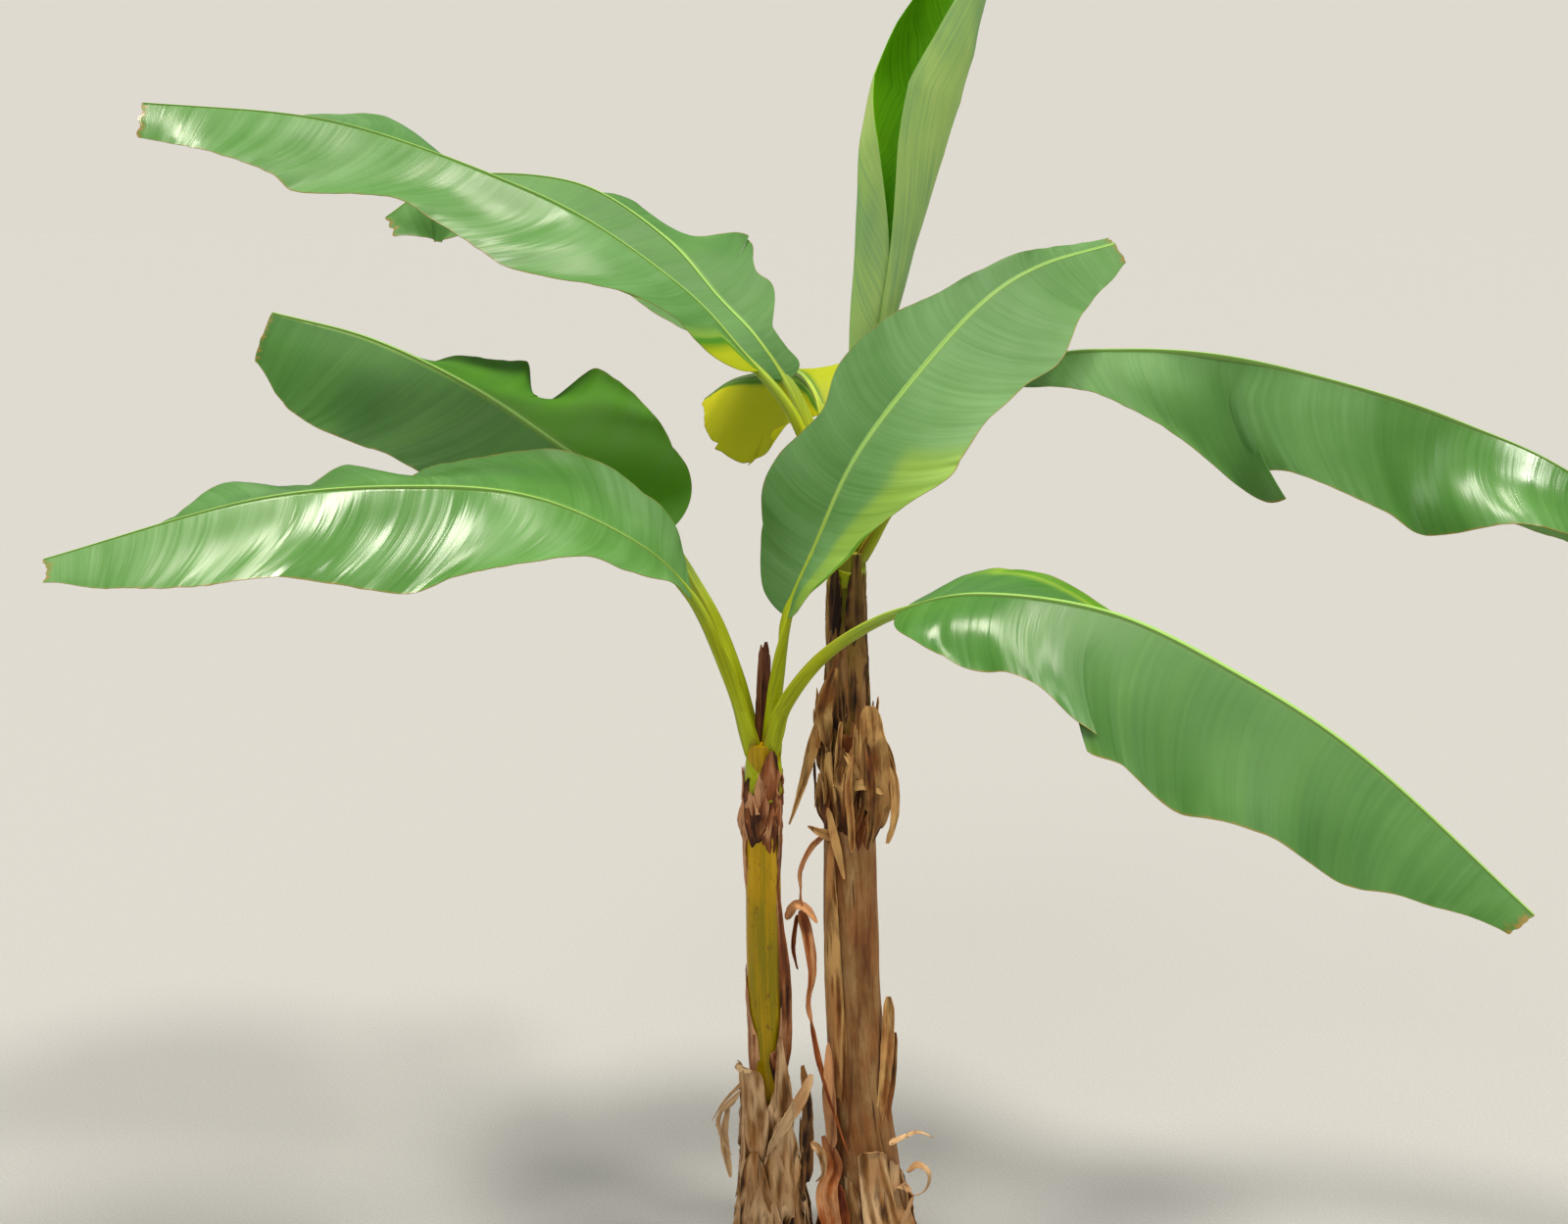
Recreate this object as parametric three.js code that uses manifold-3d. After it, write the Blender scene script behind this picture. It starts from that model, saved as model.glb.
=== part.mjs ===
// A young banana plant: a clump of two leafy stems that grew from one root.
// Millimetres, +Z up. The origin is the middle of the flat cut under the taller stem, at ground level.
// The clump is seen along +Y in its usual view, with +X to the right.

import * as THREE from "three";
import { mergeVertices } from "three/addons/utils/BufferGeometryUtils.js";
import Module from "manifold-3d";

const wasm = await Module();
wasm.setup();

// Driving sizes shared by many pieces.

const GAP = 0.3; // clearance where two pieces meet
const STEM_SIDES = 16; // faces round a stem
const STALK_SIDES = 8; // faces round a leaf stalk
const STALK_STEPS = 6; // rings along a leaf stalk
const STALK_FOOT_RADIUS = 13; // a leaf stalk where it leaves the stem
const STALK_END_RADIUS = 9; // a leaf stalk where the blade starts
const STALK_GROOVE = 0.6; // height of a stalk's grooved upper side, as a share of its radius
const STUB_STEPS = 4; // rings along the dry stub
const SEAT_DEPTH = 12; // how far a stalk would run into the stem before it is trimmed to its seat
const BLADE_STEPS = 16; // rows along a blade
const BLADE_COLUMNS = [-1, -0.66, -0.33, -0.06, 0, 0.06, 0.33, 0.66, 1]; // margin to rib to margin
const BLADE_THICKNESS = 2.4;
const KEEL_FOOT = 12; // depth of the rib under the blade, where the stalk ends
const KEEL_TIP = 4; // depth of the rib at the tip
const VEIN_SWEEP = [0.1, 0.2, 0.2, 0.2, -0.1]; // lean of the veins towards the tip, as a share of the width
const RIDGE = 0.03; // height of a stem's low ridges, as a share of its radius
const RIDGES = 3; // ridges round a stem
const RIDGE_PITCH = 160; // the ridges turn round the stem by a radian over this height
const SHAG = [ // two waves that make a dead sheath uneven: bumps round it, turn with height, share
  { bumps: 5, pitch: 23, share: 0.6 },
  { bumps: 7, pitch: -31, share: 0.4 },
];
const RIBBON_CROWN = 1.4; // a strip's middle, as a share of half its thickness
const RIBBON_STEPS = 2; // rings along a strip from one of its points to the next
const ROLL_SIDES = 10; // faces round the rolled leaf
const CURVE_DIVISIONS = 400; // steps that a curve's length is measured in
const ONE_POINT = 1e-4; // points closer than this are one

// Finishes.

const FINISH = {
  blade: { color: 0x6f9f58, roughness: 0.45, metalness: 0 },
  backlitBlade: { color: 0x9cab22, roughness: 0.5, metalness: 0 },
  rolledBlade: { color: 0xb4d080, roughness: 0.5, metalness: 0 },
  stalk: { color: 0x98a42c, roughness: 0.5, metalness: 0 },
  oliveSheath: { color: 0x9d8a22, roughness: 0.55, metalness: 0 },
  tanSheath: { color: 0xa9814f, roughness: 0.8, metalness: 0 },
  drySheath: { color: 0x9a7a58, roughness: 0.9, metalness: 0 },
  redBrownSheath: { color: 0x9a5a35, roughness: 0.9, metalness: 0 },
  darkStub: { color: 0x6a4226, roughness: 0.9, metalness: 0 },
};

// The stems: centre and radius of the stem at each height.

const TALL_STEM = [
  { z: 0, x: 0, y: 0, r: 80 },
  { z: 35, x: 0, y: 0, r: 66 },
  { z: 105, x: -4, y: 0, r: 54 },
  { z: 190, x: -10, y: 0, r: 47 },
  { z: 270, x: -16, y: 1, r: 44 },
  { z: 430, x: -26, y: 3, r: 41 },
  { z: 600, x: -31, y: 5, r: 39 },
  { z: 740, x: -34, y: 8, r: 36 },
  { z: 860, x: -37, y: 10, r: 31 },
  { z: 970, x: -39, y: 13, r: 27 },
  { z: 1050, x: -39, y: 15, r: 25 },
  { z: 1090, x: -38, y: 16, r: 25 },
];
const SHORT_STEM = [
  { z: 0, x: -150, y: -42, r: 64 },
  { z: 40, x: -150, y: -46, r: 50 },
  { z: 110, x: -150, y: -52, r: 38 },
  { z: 200, x: -151, y: -60, r: 31 },
  { z: 320, x: -154, y: -70, r: 27 },
  { z: 450, x: -159, y: -80, r: 25 },
  { z: 580, x: -161, y: -90, r: 25 },
  { z: 700, x: -162, y: -97, r: 25 },
  { z: 790, x: -161, y: -103, r: 24 },
  { z: 835, x: -161, y: -105, r: 23 },
];

// Dead sheaths wrapped round a stem. lift is how far the outside stands off the stem's own surface,
// shift moves it sideways, and rough is the unevenness of its outside.

const COLLAR_TALL = [
  { z: 632, lift: 7, shift: [2, 0], rough: 0.05 },
  { z: 670, lift: 20, shift: [12, -6], rough: 0.1 },
  { z: 730, lift: 24, shift: [13, -8], rough: 0.16 },
  { z: 800, lift: 25, shift: [11, -8], rough: 0.16 },
  { z: 850, lift: 20, shift: [6, -4], rough: 0.14 },
  { z: 880, lift: 7, shift: [-4, 0], rough: 0.1 },
];
const NECK_TALL = [
  { z: 884, lift: 5, shift: [0, 0], rough: 0.08 },
  { z: 950, lift: 5, shift: [0, 0], rough: 0.12 },
  { z: 1020, lift: 4, shift: [0, 0], rough: 0.12 },
  { z: 1068, lift: 3, shift: [0, 0], rough: 0.12 },
];
const SKIRT_SHORT = [
  { z: 0, lift: 14, shift: [2, 4], rough: 0.1 },
  { z: 60, lift: 22, shift: [2, 4], rough: 0.14 },
  { z: 140, lift: 26, shift: [3, 2], rough: 0.16 },
  { z: 220, lift: 26, shift: [4, 0], rough: 0.16 },
  { z: 290, lift: 22, shift: [4, 0], rough: 0.16 },
  { z: 335, lift: 8, shift: [4, 0], rough: 0.1 },
];
const WRAP_SHORT = [
  { z: 640, lift: 4, shift: [0, 0], rough: 0.08 },
  { z: 690, lift: 6, shift: [-2, -1], rough: 0.14 },
  { z: 760, lift: 4, shift: [0, 0], rough: 0.14 },
  { z: 812, lift: 3, shift: [0, 0], rough: 0.12 },
];

// The leaves. rib runs from the stem to the tip, stalk is how much of it is bare. Each half blade has
// its width, its fold (degrees above or below level) and its curl at even steps from the stalk to the tip.

const LEAVES = {
  upper_left: {
    rib: [[-56, 12, 1090], [-82, 18, 1200], [-120, 30, 1295], [-190, 40, 1380], [-270, 50, 1465],
      [-410, 60, 1565], [-550, 70, 1630], [-720, 80, 1690], [-845, 85, 1715], [-1050, 90, 1730]],
    stalk: 290,
    left: {
      width: [7, 110, 148, 165, 172, 172, 165, 150, 130, 98, 62],
      fold: [-10, -12, -16, -22, -37, -34, -31, -42, -36, -33, -40],
      curl: -8,
    },
    right: {
      width: [7, 95, 125, 138, 140, 142, 150, 146, 125, 95, 58],
      fold: [0, -18, -32, -40, -42, -30, 2, 14, 0, -14, -20],
      curl: -10,
    },
  },
  upper_left_back: {
    rib: [[-52, 30, 1090], [-72, 82, 1200], [-112, 136, 1305], [-170, 195, 1388], [-230, 252, 1447],
      [-315, 320, 1535], [-445, 375, 1615], [-595, 410, 1635], [-696, 425, 1615], [-777, 430, 1565]],
    stalk: 280,
    left: {
      width: [7, 80, 118, 135, 145, 148, 146, 138, 122, 96, 60],
      fold: [-5, -10, -14, -20, -24, -28, -32, -34, -36, -36, -34],
      curl: -8,
    },
    right: {
      width: [7, 66, 112, 125, 140, 145, 145, 135, 115, 90, 50],
      fold: [35, 36, 36, 18, -2, -6, -10, -14, -18, -22, -26],
      curl: -6,
    },
  },
  middle_left: {
    rib: [[-173, -95, 835], [-200, -78, 930], [-245, -40, 1030], [-340, 20, 1160], [-460, 100, 1235],
      [-610, 200, 1315], [-780, 300, 1380], [-960, 400, 1415]],
    stalk: 330,
    left: {
      width: [7, 110, 145, 160, 165, 165, 160, 152, 140, 120, 84],
      fold: [-20, -30, -34, -38, -40, -42, -44, -46, -48, -50, -52],
      curl: -8,
    },
    right: {
      width: [7, 110, 150, 165, 165, 165, 158, 150, 138, 118, 80],
      fold: [30, 30, 28, 26, 14, 2, -4, -8, -12, -16, -20],
      curl: -6,
    },
  },
  lower_left: {
    rib: [[-176, -108, 835], [-207, -133, 940], [-260, -165, 1065], [-330, -190, 1140], [-460, -215, 1205],
      [-610, -240, 1225], [-825, -255, 1210], [-1110, -260, 1130]],
    stalk: 250,
    left: {
      width: [7, 112, 146, 160, 168, 166, 158, 145, 120, 90, 46],
      fold: [-14, -15, -22, -31, -44, -46, -37, -38, -36, -34, -32],
      curl: -8,
    },
    right: {
      width: [7, 118, 152, 162, 165, 162, 158, 146, 118, 86, 40],
      fold: [32, 28, 22, 14, 4, 2, -6, 2, -6, -8, -10],
      curl: -6,
    },
  },
  front: {
    rib: [[-150, -96, 835], [-141, -110, 935], [-125, -120, 1035], [-90, -120, 1120], [-35, -100, 1240],
      [50, -60, 1350], [150, 10, 1450], [240, 80, 1500], [365, 180, 1530]],
    stalk: 190,
    roll: -48,
    left: {
      width: [7, 80, 108, 106, 94, 92, 74, 54, 38, 24, 12],
      fold: [22, 20, 18, 14, 10, 8, 6, 4, 2, 0, 0],
      curl: -4,
    },
    right: {
      width: [7, 56, 88, 120, 130, 132, 138, 134, 104, 66, 30],
      fold: [16, 14, 12, 10, 8, 6, 4, 2, 0, 0, 0],
      curl: -4,
    },
  },
  lower_right: {
    rib: [[-150, -115, 835], [-128, -138, 905], [-70, -190, 990], [20, -260, 1060], [120, -340, 1100],
      [270, -455, 1100], [405, -575, 1050], [530, -680, 975], [690, -780, 830]],
    stalk: 330,
    left: {
      width: [7, 108, 142, 160, 168, 168, 160, 142, 116, 84, 36],
      fold: [16, 12, -4, -28, -42, -48, -50, -50, -48, -46, -42],
      curl: -12,
    },
    right: {
      width: [7, 98, 118, 154, 168, 178, 160, 135, 116, 80, 36],
      fold: [-16, -24, -32, -40, -44, -46, -46, -44, -42, -38, -36],
      curl: -10,
    },
  },
  right: {
    rib: [[-19, 14, 1090], [45, 28, 1190], [135, 60, 1285], [240, 80, 1365], [370, 80, 1380],
      [525, 60, 1370], [715, 20, 1325], [845, -20, 1280], [975, -60, 1220], [1160, -110, 1090]],
    stalk: 330,
    left: {
      width: [7, 110, 150, 172, 182, 185, 180, 165, 138, 100, 50],
      fold: [-10, -20, -30, -36, -40, -42, -42, -40, -38, -36, -34],
      curl: -10,
    },
    right: {
      width: [7, 90, 124, 184, 176, 170, 180, 160, 126, 92, 46],
      fold: [-24, -34, -44, -70, -56, -54, -62, -46, -42, -42, -40],
      curl: -8,
    },
  },
  back: {
    rib: [[-38, 34, 1090], [-60, 95, 1220], [-80, 150, 1305], [-115, 250, 1335], [-170, 370, 1320],
      [-220, 500, 1295], [-250, 640, 1250]],
    stalk: 215,
    left: {
      width: [7, 118, 146, 150, 146, 138, 126, 110, 90, 66, 30],
      fold: [-50, -66, -72, -72, -68, -63, -58, -54, -50, -46, -42],
      curl: -6,
    },
    right: {
      width: [7, 90, 120, 136, 140, 140, 134, 120, 98, 70, 30],
      fold: [30, 24, 10, -4, -14, -20, -24, -26, -28, -28, -28],
      curl: -6,
    },
  },
};

// The youngest leaf, still rolled into a funnel that leans to the right: centre and radius of the roll.

const ROLLED_LEAF = [
  { at: [-38, 16, 1090], r: 9 },
  { at: [-26, 24, 1190], r: 13 },
  { at: [-14, 30, 1300], r: 21 },
  { at: [-8, 35, 1395], r: 30 },
  { at: [13, 45, 1530], r: 44 },
  { at: [34, 55, 1665], r: 63 },
  { at: [54, 60, 1748], r: 68 },
  { at: [80, 64, 1816], r: 61 },
  { at: [106, 68, 1872], r: 48 },
  { at: [162, 76, 1975], r: 20 },
  { at: [203, 82, 2050], r: 3 },
];
const ROLL_DEPTH = 0.8; // the roll is a little flatter from front to back

// Dead strips and flaps: a ribbon's centre line with its half width and the way its face looks.

const RIBBONS = {
  sheath_flare_tall: {
    points: [[22, -6, 250], [26, -6, 330], [30, -6, 395]],
    width: [15, 22, 12],
    face: [0.35, -1, 0],
    thickness: 5,
    finish: "tanSheath",
  },
  sheath_flap_tall: {
    points: [[36, -62, 0], [30, -58, 60], [22, -50, 130], [20, -46, 178]],
    width: [30, 32, 32, 26],
    face: [0.3, -1, 0.1],
    thickness: 6,
    finish: "drySheath",
  },
  sheath_strip_short: {
    points: [[-134, -66, 330], [-137, -74, 430], [-140, -82, 530], [-141, -90, 638]],
    width: [10, 9, 8, 6],
    face: [0.8, -1, 0],
    thickness: 4,
    finish: "redBrownSheath",
  },
  dry_strip_upper: {
    points: [[-80, -6, 832], [-93, -12, 790], [-108, -22, 740], [-122, -34, 685]],
    width: [9, 11, 9, 4],
    face: [0.4, -1, 0],
    thickness: 3,
    finish: "drySheath",
  },
  dry_strip_lower: {
    points: [[-76, -2, 655], [-98, -24, 640], [-112, -34, 590], [-104, -34, 530], [-96, -32, 470],
      [-92, -30, 400], [-84, -24, 350], [-66, -16, 300]],
    width: [9, 7, 12, 8, 6, 7, 5, 5],
    face: [0.2, -1, 0],
    thickness: 3,
    finish: "drySheath",
  },
  dead_leaf_base: {
    points: [[-66, -62, 0], [-64, -58, 60], [-58, -50, 120], [-66, -42, 176]],
    width: [30, 26, 20, 10],
    face: [-0.2, -1, 0],
    thickness: 10,
    finish: "redBrownSheath",
  },
};
const DRY_STUB = { points: [[-162, -92, 835], [-160, -90, 900], [-158, -88, 975]], radii: [9, 8, 5] };

// Plain geometry helpers.

const vector = (p) => new THREE.Vector3(...p);
const radians = THREE.MathUtils.degToRad;

/** Smooth value at share t of a list of evenly spaced values. */
function along(values, t) {
  if (!Array.isArray(values)) return values;
  const x = THREE.MathUtils.clamp(t, 0, 1) * (values.length - 1);
  const i = Math.min(Math.floor(x), values.length - 2);
  return THREE.MathUtils.lerp(values[i], values[i + 1], THREE.MathUtils.smoothstep(x - i, 0, 1));
}

/** A smooth curve through points, walked by length. */
function smoothCurve(points) {
  const curve = new THREE.CatmullRomCurve3(points.map(vector), false, "catmullrom", 0.5);
  curve.arcLengthDivisions = CURVE_DIVISIONS;
  return curve;
}

/** Forward, sideways and upward directions of a limb at share s of its curve. */
function limbFrame(curve, s) {
  const forward = curve.getTangentAt(s);
  const side = new THREE.Vector3().crossVectors(forward, new THREE.Vector3(0, 0, 1)).normalize();
  return { at: curve.getPointAt(s), forward, side, up: new THREE.Vector3().crossVectors(side, forward) };
}

/** A closed body from points and faces, turned so that its faces look outwards. */
function body(points, faces) {
  let volume = 0;
  const cross = new THREE.Vector3();
  for (const [a, b, c] of faces) volume += points[a].dot(cross.crossVectors(points[b], points[c]));
  const order = volume < 0 ? faces.map(([a, b, c]) => [a, c, b]) : faces;
  const geometry = new THREE.BufferGeometry().setFromPoints(points);
  geometry.setIndex(order.flat());
  return geometry;
}

/** A closed body skinned over rings of equal count, its ends closed round their middles. */
function loft(rings) {
  const count = rings[0].length;
  const points = rings.flat();
  const faces = [];
  for (let i = 0; i + 1 < rings.length; i++) {
    for (let j = 0; j < count; j++) {
      const a = i * count + j;
      const b = i * count + ((j + 1) % count);
      faces.push([a, b, b + count], [a, b + count, a + count]);
    }
  }
  const middle = (ring) => ring.reduce((sum, p) => sum.add(p), new THREE.Vector3()).divideScalar(count);
  const last = (rings.length - 1) * count;
  points.push(middle(rings[0]), middle(rings[rings.length - 1]));
  for (let j = 0; j < count; j++) {
    const k = (j + 1) % count;
    faces.push([points.length - 2, k, j], [points.length - 1, last + j, last + k]);
  }
  return body(points, faces);
}

// Joining and cutting.

function toSolid(geometry) {
  const bare = geometry.clone();
  bare.deleteAttribute("normal");
  bare.deleteAttribute("uv");
  const merged = mergeVertices(bare, ONE_POINT);
  return new wasm.Manifold(new wasm.Mesh({
    numProp: 3,
    vertProperties: new Float32Array(merged.attributes.position.array),
    triVerts: new Uint32Array(merged.index.array),
  }));
}

function toGeometry(solid) {
  const mesh = solid.getMesh();
  const geometry = new THREE.BufferGeometry();
  geometry.setAttribute("position", new THREE.BufferAttribute(mesh.vertProperties, 3));
  geometry.setIndex(new THREE.BufferAttribute(mesh.triVerts, 1));
  return geometry;
}

/** The largest piece of what is left of a body after its neighbours are cut away. */
function trimmed(geometry, neighbours) {
  let solid = toSolid(geometry);
  for (const neighbour of neighbours) solid = solid.subtract(neighbour);
  const pieces = solid.decompose();
  return toGeometry(pieces.reduce((a, b) => (a.volume() > b.volume() ? a : b)));
}

// Stems and the dead sheaths round them.

/** Centre and radius of a stem at height z. */
function stemAt(stem, z) {
  let i = 0;
  while (i < stem.length - 2 && stem[i + 1].z < z) i++;
  const t = THREE.MathUtils.clamp((z - stem[i].z) / (stem[i + 1].z - stem[i].z), 0, 1);
  const mix = (key) => THREE.MathUtils.lerp(stem[i][key], stem[i + 1][key], t);
  return { x: mix("x"), y: mix("y"), r: mix("r") };
}

/** A level ring round a stem, with the low ridges of its overlapped sheaths. */
function stemRing(stem, z, grow, shift = [0, 0], rough = 0) {
  const { x, y, r } = stemAt(stem, z);
  const ring = [];
  for (let j = 0; j < STEM_SIDES; j++) {
    const a = (2 * Math.PI * j) / STEM_SIDES;
    const ridge = r * RIDGE * Math.sin(RIDGES * a + z / RIDGE_PITCH);
    const shag = SHAG.reduce((sum, wave) => sum + wave.share * Math.sin(wave.bumps * a + z / wave.pitch), 0);
    const reach = r + ridge + grow + rough * (r + grow) * shag;
    ring.push(new THREE.Vector3(x + shift[0] + reach * Math.cos(a), y + shift[1] + reach * Math.sin(a), z));
  }
  return ring;
}

const stemBody = (stem) => loft(stem.map(({ z }) => stemRing(stem, z, 0)));

/** A stem grown by the clearance all round and above, to trim its neighbours with. */
function stemClearance(stem) {
  const bottom = stem[0].z;
  const top = stem[stem.length - 1].z;
  return toSolid(loft([
    stemRing(stem, bottom, GAP).map((p) => p.setZ(bottom - GAP)),
    ...stem.map(({ z }) => stemRing(stem, z, GAP)),
    stemRing(stem, top, GAP).map((p) => p.setZ(top + GAP)),
  ]));
}

/** A mantle of dead sheaths round a stem, filled to the middle; grow adds clearance. */
function mantle(stem, rows, grow = 0) {
  return loft(rows.map((row, i) => {
    const away = i === 0 ? -grow : i === rows.length - 1 ? grow : 0;
    const ring = stemRing(stem, row.z, row.lift + grow, row.shift, row.rough);
    return ring.map((p) => p.setZ(p.z + away));
  }));
}

// Leaf stalks, blades, the rolled leaf and dead strips.

/** A limb's round or grooved section at share s of a curve. */
function limbRing(frame, radius, sides, groove) {
  const ring = [];
  for (let j = 0; j < sides; j++) {
    const a = (2 * Math.PI * (j + 0.5)) / sides;
    const rise = Math.sin(a) * (Math.sin(a) > 0 ? groove : 1);
    ring.push(frame.at.clone()
      .addScaledVector(frame.side, radius * Math.cos(a))
      .addScaledVector(frame.up, radius * rise));
  }
  return ring;
}

/** A leaf stalk, from inside the stem to the start of its blade; grow adds clearance. */
function stalkBody(leaf, grow = 0) {
  const curve = smoothCurve(leaf.rib);
  const end = (leaf.stalk - GAP) / curve.getLength();
  const foot = limbFrame(curve, 0);
  const rings = [];
  foot.at = foot.at.clone().addScaledVector(foot.forward, -SEAT_DEPTH);
  rings.push(limbRing(foot, STALK_FOOT_RADIUS + grow, STALK_SIDES, STALK_GROOVE));
  for (let i = 0; i <= STALK_STEPS; i++) {
    const t = i / STALK_STEPS;
    const radius = THREE.MathUtils.lerp(STALK_FOOT_RADIUS, STALK_END_RADIUS, t) + grow;
    rings.push(limbRing(limbFrame(curve, t * end), radius, STALK_SIDES, STALK_GROOVE));
  }
  return loft(rings);
}

/** Width of a half blade at share t: a quarter round at the stalk, then even steps to the tip. */
function bladeWidth(half, t) {
  const share = t * (half.width.length - 1);
  if (share >= 1) return along(half.width, t);
  const rise = Math.sqrt(1 - (1 - share) ** 2);
  return THREE.MathUtils.lerp(half.width[0], half.width[1], rise);
}

/** Point of a half blade: t runs from the stalk to the tip, v from the rib to the margin. */
function bladePoint(leaf, frame, half, way, t, v) {
  const roll = radians(leaf.roll ?? 0);
  const side = frame.side.clone().multiplyScalar(Math.cos(roll)).addScaledVector(frame.up, Math.sin(roll));
  const up = frame.up.clone().multiplyScalar(Math.cos(roll)).addScaledVector(frame.side, -Math.sin(roll));
  const width = bladeWidth(half, t);
  const fold = radians(along(half.fold, t));
  const curl = radians(half.curl);
  const out = (Math.sin(fold + curl * v) - Math.sin(fold)) / curl;
  const rise = (Math.cos(fold) - Math.cos(fold + curl * v)) / curl;
  return frame.at.clone()
    .addScaledVector(side, way * width * out)
    .addScaledVector(up, width * rise)
    .addScaledVector(frame.forward, along(VEIN_SWEEP, t) * width * v * v);
}

/** A thin blade with a keel under its rib. */
function bladeBody(leaf) {
  const curve = smoothCurve(leaf.rib);
  const start = leaf.stalk / curve.getLength();
  const top = [];
  for (let i = 0; i <= BLADE_STEPS; i++) {
    const t = i / BLADE_STEPS;
    const frame = limbFrame(curve, THREE.MathUtils.lerp(start, 1, t));
    top.push(BLADE_COLUMNS.map((c) => (c < 0
      ? bladePoint(leaf, frame, leaf.left, -1, t, -c)
      : bladePoint(leaf, frame, leaf.right, 1, t, c))));
  }
  const columns = BLADE_COLUMNS.length;
  const at = (i, j) => top[THREE.MathUtils.clamp(i, 0, BLADE_STEPS)][THREE.MathUtils.clamp(j, 0, columns - 1)];
  const under = top.map((row, i) => row.map((p, j) => {
    const across = at(i, j + 1).clone().sub(at(i, j - 1));
    const forward = at(i + 1, j).clone().sub(at(i - 1, j));
    const normal = across.cross(forward).normalize();
    const keel = THREE.MathUtils.lerp(KEEL_FOOT, KEEL_TIP, i / BLADE_STEPS);
    return p.clone().addScaledVector(normal, BLADE_COLUMNS[j] === 0 ? -keel : -BLADE_THICKNESS);
  }));
  const points = [...top.flat(), ...under.flat()];
  const low = (BLADE_STEPS + 1) * columns;
  const faces = [];
  const quad = (a, b, c, d) => faces.push([a, b, c], [a, c, d]);
  for (let i = 0; i < BLADE_STEPS; i++) {
    const row = i * columns;
    for (let j = 0; j + 1 < columns; j++) {
      const a = row + j;
      quad(a, a + 1, a + 1 + columns, a + columns);
      quad(low + a, low + a + columns, low + a + 1 + columns, low + a + 1);
    }
    quad(row, row + columns, low + row + columns, low + row);
    const far = row + columns - 1;
    quad(far, low + far, low + far + columns, far + columns);
  }
  for (let j = 0; j + 1 < columns; j++) {
    quad(j, low + j, low + j + 1, j + 1);
    const end = BLADE_STEPS * columns + j;
    quad(end, end + 1, low + end + 1, low + end);
  }
  return body(points, faces);
}

function rolledBody(grow = 0) {
  const curve = smoothCurve(ROLLED_LEAF.map((row) => row.at));
  const tangent = (i) => curve.getTangent(i / (ROLLED_LEAF.length - 1));
  const rings = ROLLED_LEAF.map((row, i) => {
    const forward = tangent(i);
    const up = new THREE.Vector3(0, 1, 0).addScaledVector(forward, -forward.y).normalize();
    const side = new THREE.Vector3().crossVectors(forward, up).normalize();
    const frame = { at: vector(row.at), side, up: up.multiplyScalar(ROLL_DEPTH) };
    return limbRing(frame, row.r + grow, ROLL_SIDES, 1);
  });
  const foot = rings[0].map((p) => p.clone().addScaledVector(tangent(0), -SEAT_DEPTH));
  return loft([foot, ...rings]);
}

/** A flat dead strip of varying width along a curve, with a low ridge, cut off level at the ground;
    grow adds clearance. */
function ribbonBody({ points, width, face, thickness }, grow = 0) {
  const curve = smoothCurve(points);
  const steps = (points.length - 1) * RIBBON_STEPS;
  const look = vector(face).normalize();
  const rings = [];
  for (let i = 0; i <= steps; i++) {
    const t = i / steps;
    const at = curve.getPoint(t);
    const forward = curve.getTangent(t);
    const side = new THREE.Vector3().crossVectors(forward, look).normalize();
    const half = along(width, t) + grow;
    const rise = thickness / 2 + grow;
    const corner = (a, b) => {
      const p = at.clone().addScaledVector(side, a * half).addScaledVector(look, b * rise);
      return p.setZ(Math.max(p.z, 0));
    };
    rings.push([corner(-1, -1), corner(0, -RIBBON_CROWN), corner(1, -1),
      corner(1, 1), corner(0, RIBBON_CROWN), corner(-1, 1)]);
  }
  return loft(rings);
}

/** The dry stub of an old stalk. */
function stubBody(grow = 0) {
  const curve = smoothCurve(DRY_STUB.points);
  const foot = limbFrame(curve, 0);
  foot.at = foot.at.clone().addScaledVector(foot.forward, -SEAT_DEPTH);
  const rings = [limbRing(foot, DRY_STUB.radii[0] + grow, STALK_SIDES, 1)];
  for (let i = 0; i <= STUB_STEPS; i++) {
    const t = i / STUB_STEPS;
    rings.push(limbRing(limbFrame(curve, t), along(DRY_STUB.radii, t) + grow, STALK_SIDES, 1));
  }
  return loft(rings);
}

// The plant.

const plant = new THREE.Group();

function add(name, geometry, finish) {
  const mesh = new THREE.Mesh(geometry, new THREE.MeshStandardMaterial(FINISH[finish]));
  mesh.name = name;
  plant.add(mesh);
}

const tallClearance = stemClearance(TALL_STEM);
const shortClearance = stemClearance(SHORT_STEM);
add("pseudostem_tall", stemBody(TALL_STEM), "tanSheath");
add("pseudostem_short", stemBody(SHORT_STEM), "oliveSheath");

// Mantles of dead sheaths, trimmed by both stems.
const MANTLES = {
  sheath_collar_tall: { stem: TALL_STEM, rows: COLLAR_TALL, finish: "drySheath" },
  sheath_neck_tall: { stem: TALL_STEM, rows: NECK_TALL, finish: "darkStub" },
  sheath_skirt_short: { stem: SHORT_STEM, rows: SKIRT_SHORT, finish: "drySheath" },
  sheath_wrap_short: { stem: SHORT_STEM, rows: WRAP_SHORT, finish: "redBrownSheath" },
};
const settled = [tallClearance, shortClearance];
for (const [name, { stem, rows, finish }] of Object.entries(MANTLES)) {
  add(name, trimmed(mantle(stem, rows), settled), finish);
  settled.push(toSolid(mantle(stem, rows, GAP)));
}

// Dead strips and flaps, each trimmed by all that lies behind it.
for (const [name, ribbon] of Object.entries(RIBBONS)) {
  add(name, trimmed(ribbonBody(ribbon), settled), ribbon.finish);
  settled.push(toSolid(ribbonBody(ribbon, GAP)));
}

// The rolled leaf stands in the middle of the taller crown, and the stub in the shorter one.
const crown = [tallClearance, shortClearance];
add("rolled_leaf", trimmed(rolledBody(), crown), "rolledBlade");
crown.push(toSolid(rolledBody(GAP)));
add("dry_stub_short", trimmed(stubBody(), crown), "darkStub");
crown.push(toSolid(stubBody(GAP)));

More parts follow.
